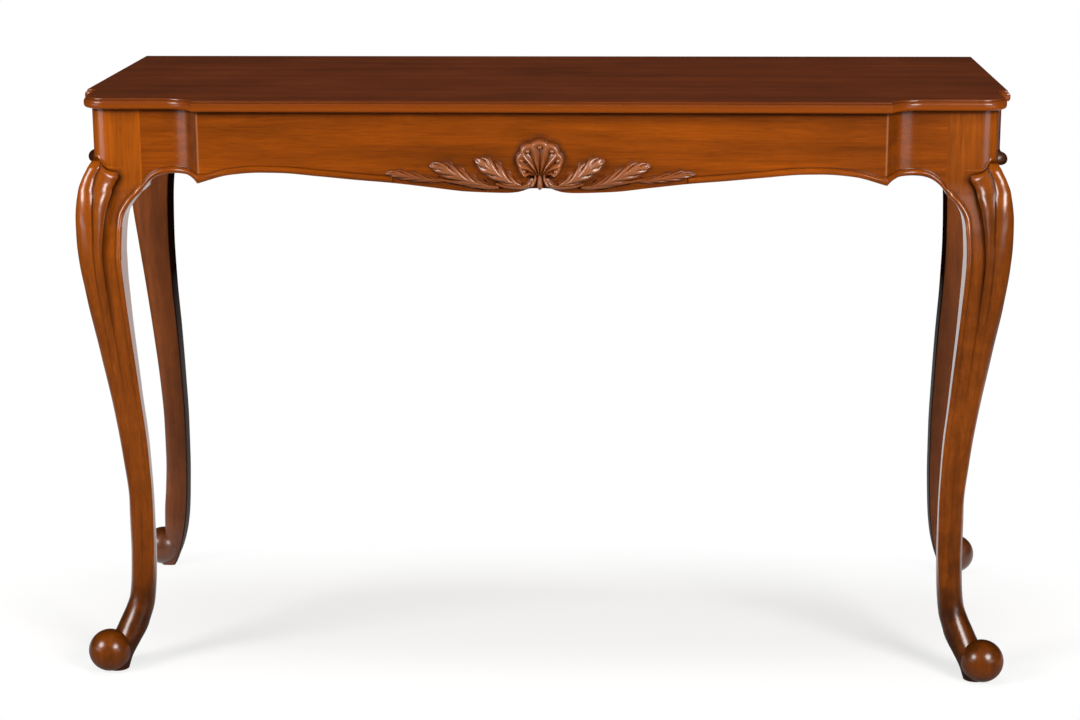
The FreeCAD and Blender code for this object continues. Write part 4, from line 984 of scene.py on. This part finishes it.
class PIERTABLE_OT_carving(bpy.types.Operator):
    """Builds the shell and the acanthus sprays on the front"""
    bl_idname = "pier_table.carving"
    bl_label = "Carving"

    def execute(self, context):
        sizes = context.scene.pier_table_sizes
        colours = context.scene.pier_table_colours
        # Wax left in the cuts of the carving and rubbed off its ridges: dark hollows, pale dusty crests
        carved = wood("Carved and waxed mahogany", colours.frieze_light, colours.frieze_dark, "X",
                      gloss=0.32, shine=0.5, wear_and_highlight=colours.wear_and_highlight)
        verts, faces, wax_and_shade, wear_and_highlight = self.shell(sizes)
        add_piece("shell_carved", "carved_shell", verts, faces, carved,
                  {"wax_and_shade": wax_and_shade, "wear_and_highlight": wear_and_highlight}, crease=60.0)
        verts, faces, wax_and_shade, wear_and_highlight = self.spray()
        add_pair("acanthus_carved", "acanthus", verts, faces, carved,
                 {"wax_and_shade": wax_and_shade, "wear_and_highlight": wear_and_highlight}, crease=60.0)
        return {"FINISHED"}

    def shell(self, sizes):
        """Seven scooped flutes with a pearl at the end of each, gathered into a stem with a hanging bud."""
        relief = sizes.shell_relief
        foot = ground(0.0) + SHELL_FOOT
        parts = [self.fan(foot, relief)]
        for degrees, length in FLUTES:
            parts.append(self.pearl(self.ray(degrees, PEARL_RUN, length, foot), relief))
        parts.append(self.hanging(in_metres(BUD_PATH, foot), BUD_HALF, relief))
        for sign in (1, -1):
            parts.append(self.hanging(in_metres(BUD_LEAF_PATH, foot, sign), BUD_LEAF_HALF, relief * 0.8))
        return joined(parts, relief)

    def hanging(self, path, half_width, relief):
        """Small round strip that may hang under the edge of the frieze."""
        rows, columns = 31, 15
        verts, wax_and_shade = [], []
        for along in spread(0, 1, rows):
            x, z = path_place(path, along)
            full = smooth(BUD_SWELL, along)
            for across in spread(-1, 1, columns):
                lift = relief * math.sqrt(full) * math.sqrt(max(0.0, 1 - across ** 2))
                verts.append((x + half_width * full * across, FRONT_FACE_Y - lift, z))
                wax_and_shade.append(0.8 * max(0.0, abs(across) - 0.7) / 0.3)
        return verts, grid_faces(rows, columns), wax_and_shade

    def ray(self, degrees, run, length, foot):
        """Place on a line of the shell that leaves its foot steeply and bends outward to the rim."""
        turn = math.radians(degrees)
        start = Vector((degrees / FAN_END[0] * FOOT_HALF, foot))
        end = Vector((math.sin(turn), math.cos(turn))) * length * MM + Vector((0, foot))
        bend = start + Vector((math.sin(turn / 2), math.cos(turn / 2))) * 0.42 * length * MM
        return start * (1 - run) ** 2 + bend * 2 * run * (1 - run) + end * run ** 2

    def fan(self, foot, relief):
        """Fluted body of the shell, with a skirt of wax and painted shadow on the ground past its rim."""
        lengths = ((-FAN_END[0], FAN_END[1]), *FLUTES, FAN_END)
        rows, columns = 45, 141
        # Where along a flute its hollow runs out into the rim, and where the rim falls to the ground
        rim_start, rim_run, fall_start, fall_run = 0.78, 0.12, 0.90, 0.10
        verts, wax_and_shade = [], []
        for run in spread(0, 1.12, rows):
            rim = clamp((run - rim_start) / rim_run)
            fall = clamp((run - fall_start) / fall_run)
            for degrees in spread(RIDGES[0], RIDGES[-1], columns):
                before = max(ridge for ridge in RIDGES[:-1] if ridge <= degrees)
                after = min(ridge for ridge in RIDGES if ridge > before)
                off = (2 * degrees - before - after) / (after - before)
                length = smooth(lengths, degrees) * (1 - 0.06 * off ** 2)
                hollow = 0.36 + 0.64 * abs(off) ** 1.5
                hollow += (0.92 - hollow) * rim ** 2 * (3 - 2 * rim)
                lift = relief * hollow * math.sqrt(max(0.0, 1 - fall ** 2)) + SKIRT_LIFT
                place = self.ray(degrees, run, length, foot)
                verts.append((place.x, FRONT_FACE_Y - lift, place.y))
                # Wax and painted shadow on the skirt past the rim
                beside = max(0.0, 1 - abs(run - 1.02) / 0.10) * 0.6
                sunk = 0.55 * (1 - abs(off)) ** 2 * (1 - rim) * min(1.0, 3 * run)
                wax_and_shade.append(max(beside, sunk if run < 1 else 0.3))
        return verts, grid_faces(rows, columns), wax_and_shade

    def pearl(self, at, relief):
        """Small round boss at the end of a flute."""
        rows, columns = 8, 16
        verts = []
        for share in spread(0, 1, rows):
            out = math.sin(share * math.pi / 2) * PEARL_RADIUS
            rise = relief * 0.5 + math.cos(share * math.pi / 2) * PEARL_RADIUS * 1.2
            y = FRONT_FACE_Y - min(rise, relief * 1.02)
            for turn in spread(0, math.tau, columns + 1)[:-1]:
                verts.append((at.x + out * math.cos(turn), y, at.y + out * math.sin(turn)))
        wax_and_shade = [0.0] * (len(verts) - columns) + [0.7] * columns
        return verts, grid_faces(rows, columns, closed=True), wax_and_shade

    def spray(self):
        """Three leaves, one over another, that grow out of scrolls beside the shell."""
        belly = RAIL_TOP - max(depth for _, depth in FRONT_INNER_EDGE)
        parts = []
        for strips, swell in ((LEAVES, LEAF_SWELL), (SCROLLS, SCROLL_SWELL)):
            for places, half_width, relief, fingers in strips:
                path = in_metres(places, belly)
                parts.append(carved_leaf(path, half_width * MM, relief * MM, fingers, swell))
        return joined(parts, SPRAY_RELIEF)


class PIERTABLE_OT_inner_frame(bpy.types.Operator):
    """Gives the hidden rail, bearer and blocks their bare softwood"""
    bl_idname = "pier_table.inner_frame"
    bl_label = "Inner frame"

    def execute(self, context):
        along = plain_wood("Sawn pine rail", "X")
        across = plain_wood("Sawn pine bearer", "Y")
        upright = plain_wood("Sawn pine blocks", "Z")
        for node, material in (("back_rail", along), ("cross_bearer", across), ("glue_blocks", along),
                               ("front_corner_blocks_left", upright), ("front_corner_blocks_right", upright),
                               ("rear_corner_block_left", upright), ("rear_corner_block_right", upright)):
            mesh = NODES[node].data
            mesh.materials.clear()
            mesh.materials.append(material)
        return {"FINISHED"}


class PIERTABLE_OT_stage(bpy.types.Operator):
    """Sets the pale floor, the soft lamps and the camera"""
    bl_idname = "pier_table.stage"
    bl_label = "Stage"

    def execute(self, context):
        scene = context.scene
        scene.view_settings.view_transform = "Standard"
        self.floor(scene)
        self.world(scene)
        for lamp in LAMPS:
            self.lamp(scene, *lamp)
        self.camera(scene)
        return {"FINISHED"}

    def floor(self, scene):
        """White floor: it keeps a soft shadow near the table, and only its far side shows in the polish."""
        material = bpy.data.materials.new("White painted floor")
        material.use_nodes = True
        tree = material.node_tree
        shader = tree.nodes["Principled BSDF"]
        shader.inputs["Roughness"].default_value = 0.8
        seen = add(tree, "ShaderNodeLightPath")
        paint = add(tree, "ShaderNodeMix", {"Factor": seen.outputs["Is Camera Ray"],
                                            "A": (*linear("#B3B3B3"), 1), "B": (*linear("#F3F3F3"), 1)},
                    data_type="RGBA")
        tree.links.new(paint.outputs["Result"], shader.inputs["Base Color"])
        place = add(tree, "ShaderNodeTexCoord").outputs["Object"]
        parts = add(tree, "ShaderNodeSeparateXYZ", {0: place})
        # The polish mirrors the floor from the table's middle backward and no further out than its ends
        behind = add(tree, "ShaderNodeMapRange", {"Value": parts.outputs["Y"], "From Min": -0.35,
                                                  "From Max": 0.1, "To Min": 0.012, "To Max": 0.9})
        sideways = add(tree, "ShaderNodeMath", {0: parts.outputs["X"]}, operation="ABSOLUTE")
        between = add(tree, "ShaderNodeMapRange", {"Value": sideways.outputs[0], "From Min": 1.0,
                                                   "From Max": 1.6, "To Min": 1.0, "To Max": 0.03})
        mirrored = add(tree, "ShaderNodeMath", {0: behind.outputs[0], 1: between.outputs[0]},
                       operation="MULTIPLY")
        strength = add(tree, "ShaderNodeMath", {0: seen.outputs["Is Camera Ray"], 1: mirrored.outputs[0]},
                       operation="MAXIMUM")
        glow = add(tree, "ShaderNodeEmission", {"Strength": strength.outputs[0]})
        # Away from the table the floor turns white, so that only a soft shadow is left under it
        squeezed = add(tree, "ShaderNodeMapping", {"Vector": place, "Location": (0, 0.1, 0),
                                                   "Scale": (0.8, 2.5, 1.0)})
        away = add(tree, "ShaderNodeVectorMath", {0: squeezed.outputs[0]}, operation="LENGTH")
        whiter = add(tree, "ShaderNodeMapRange", {"Value": away.outputs["Value"], "From Min": 0.4,
                                                  "From Max": 1.0, "To Min": 0.53, "To Max": 1.0})
        share = add(tree, "ShaderNodeMath", {0: seen.outputs["Is Camera Ray"], 1: whiter.outputs[0]},
                    operation="MULTIPLY")
        either = add(tree, "ShaderNodeMath", {0: share.outputs[0], 1: seen.outputs["Is Glossy Ray"]},
                     operation="MAXIMUM")
        mixed = add(tree, "ShaderNodeMixShader", {0: either.outputs[0], 1: shader.outputs[0],
                                                  2: glow.outputs[0]})
        tree.links.new(mixed.outputs[0], tree.nodes["Material Output"].inputs["Surface"])
        half = 30
        mesh = bpy.data.meshes.new("floor")
        mesh.from_pydata([(-half, -half, 0), (half, -half, 0), (half, half, 0), (-half, half, 0)], [],
                         [(0, 1, 2, 3)])
        mesh.materials.append(material)
        floor = bpy.data.objects.new("floor", mesh)
        scene.collection.objects.link(floor)

    def world(self, scene):
        """Surroundings that are white to the eye, a weak fill as a light and nearly dark in the polish."""
        world = bpy.data.worlds.new("studio")
        scene.world = world
        world.use_nodes = True
        tree = world.node_tree
        background = tree.nodes["Background"]
        seen = add(tree, "ShaderNodeLightPath")
        fill = add(tree, "ShaderNodeMapRange", {"Value": seen.outputs["Is Glossy Ray"], "To Min": 0.14,
                                                "To Max": 0.012})
        strength = add(tree, "ShaderNodeMath", {0: seen.outputs["Is Camera Ray"], 1: fill.outputs[0]},
                       operation="MAXIMUM")
        tree.links.new(strength.outputs[0], background.inputs["Strength"])
        background.inputs["Color"].default_value = (1, 1, 1, 1)

    def lamp(self, scene, name, place, target, size, watts, tint, mirrored):
        """Softbox that faces a point: a disc, or a rectangle where two sizes are given."""
        light = bpy.data.lights.new(name, "AREA")
        light.shape = "RECTANGLE" if len(size) == 2 else "DISK"
        light.size = size[0]
        light.size_y = size[-1]
        light.energy = watts
        light.color = tint
        lamp = bpy.data.objects.new(name, light)
        lamp.location = place
        lamp.rotation_euler = (Vector(target) - Vector(place)).to_track_quat("-Z", "Y").to_euler()
        lamp.visible_glossy = mirrored
        scene.collection.objects.link(lamp)

    def camera(self, scene):
        """Camera at the photograph's place, turned a little left, down and over."""
        place = (0.1535, -3.46885, 1.25636)
        yaw, pitch, roll = -0.0480, 0.24059, -0.00441
        lens = bpy.data.cameras.new("camera")
        lens.sensor_width = 36.0
        lens.lens = 80.10
        lens.clip_end = 200.0
        level = Vector((math.cos(yaw), -math.sin(yaw), 0))
        ahead = Vector((math.sin(yaw), math.cos(yaw), 0))
        rise = Vector((0, 0, 1))
        forward = ahead * math.cos(pitch) - rise * math.sin(pitch)
        upward = rise * math.cos(pitch) + ahead * math.sin(pitch)
        right = level * math.cos(roll) + upward * math.sin(roll)
        up = upward * math.cos(roll) - level * math.sin(roll)
        camera = bpy.data.objects.new("camera", lens)
        turned = Matrix((right, up, -forward)).transposed().to_4x4()
        camera.matrix_world = Matrix.Translation(place) @ turned
        scene.collection.objects.link(camera)
        scene.camera = camera


class PIERTABLE_PT_panel(bpy.types.Panel):
    """Steps and settings of the table"""
    bl_idname = "PIERTABLE_PT_panel"
    bl_label = "Pier Table"
    bl_space_type = "VIEW_3D"
    bl_region_type = "UI"
    bl_category = "Pier Table"

    def draw(self, context):
        for step in STEPS:
            self.layout.operator(step.bl_idname)
        for group in (context.scene.pier_table_sizes, context.scene.pier_table_colours):
            for name in group.__annotations__:
                self.layout.prop(group, name)


STEPS = (PIERTABLE_OT_top, PIERTABLE_OT_frieze, PIERTABLE_OT_front_legs, PIERTABLE_OT_rear_legs,
         PIERTABLE_OT_carving, PIERTABLE_OT_inner_frame, PIERTABLE_OT_stage)
CLASSES = (PierTableSizes, PierTableColours, *STEPS, PIERTABLE_PT_panel)


def register():
    """Makes the steps, the panel and the settings known."""
    for cls in CLASSES:
        bpy.utils.register_class(cls)
    bpy.types.Scene.pier_table_sizes = bpy.props.PointerProperty(type=PierTableSizes)
    bpy.types.Scene.pier_table_colours = bpy.props.PointerProperty(type=PierTableColours)


def unregister():
    """Takes them away again."""
    del bpy.types.Scene.pier_table_colours
    del bpy.types.Scene.pier_table_sizes
    for cls in reversed(CLASSES):
        bpy.utils.unregister_class(cls)


def main():
    """Builds every piece and the stage."""
    register()
    bpy.ops.pier_table.top()
    bpy.ops.pier_table.frieze()
    bpy.ops.pier_table.front_legs()
    bpy.ops.pier_table.rear_legs()
    bpy.ops.pier_table.carving()
    bpy.ops.pier_table.inner_frame()
    bpy.ops.pier_table.stage()


if __name__ == "__main__":
    main()
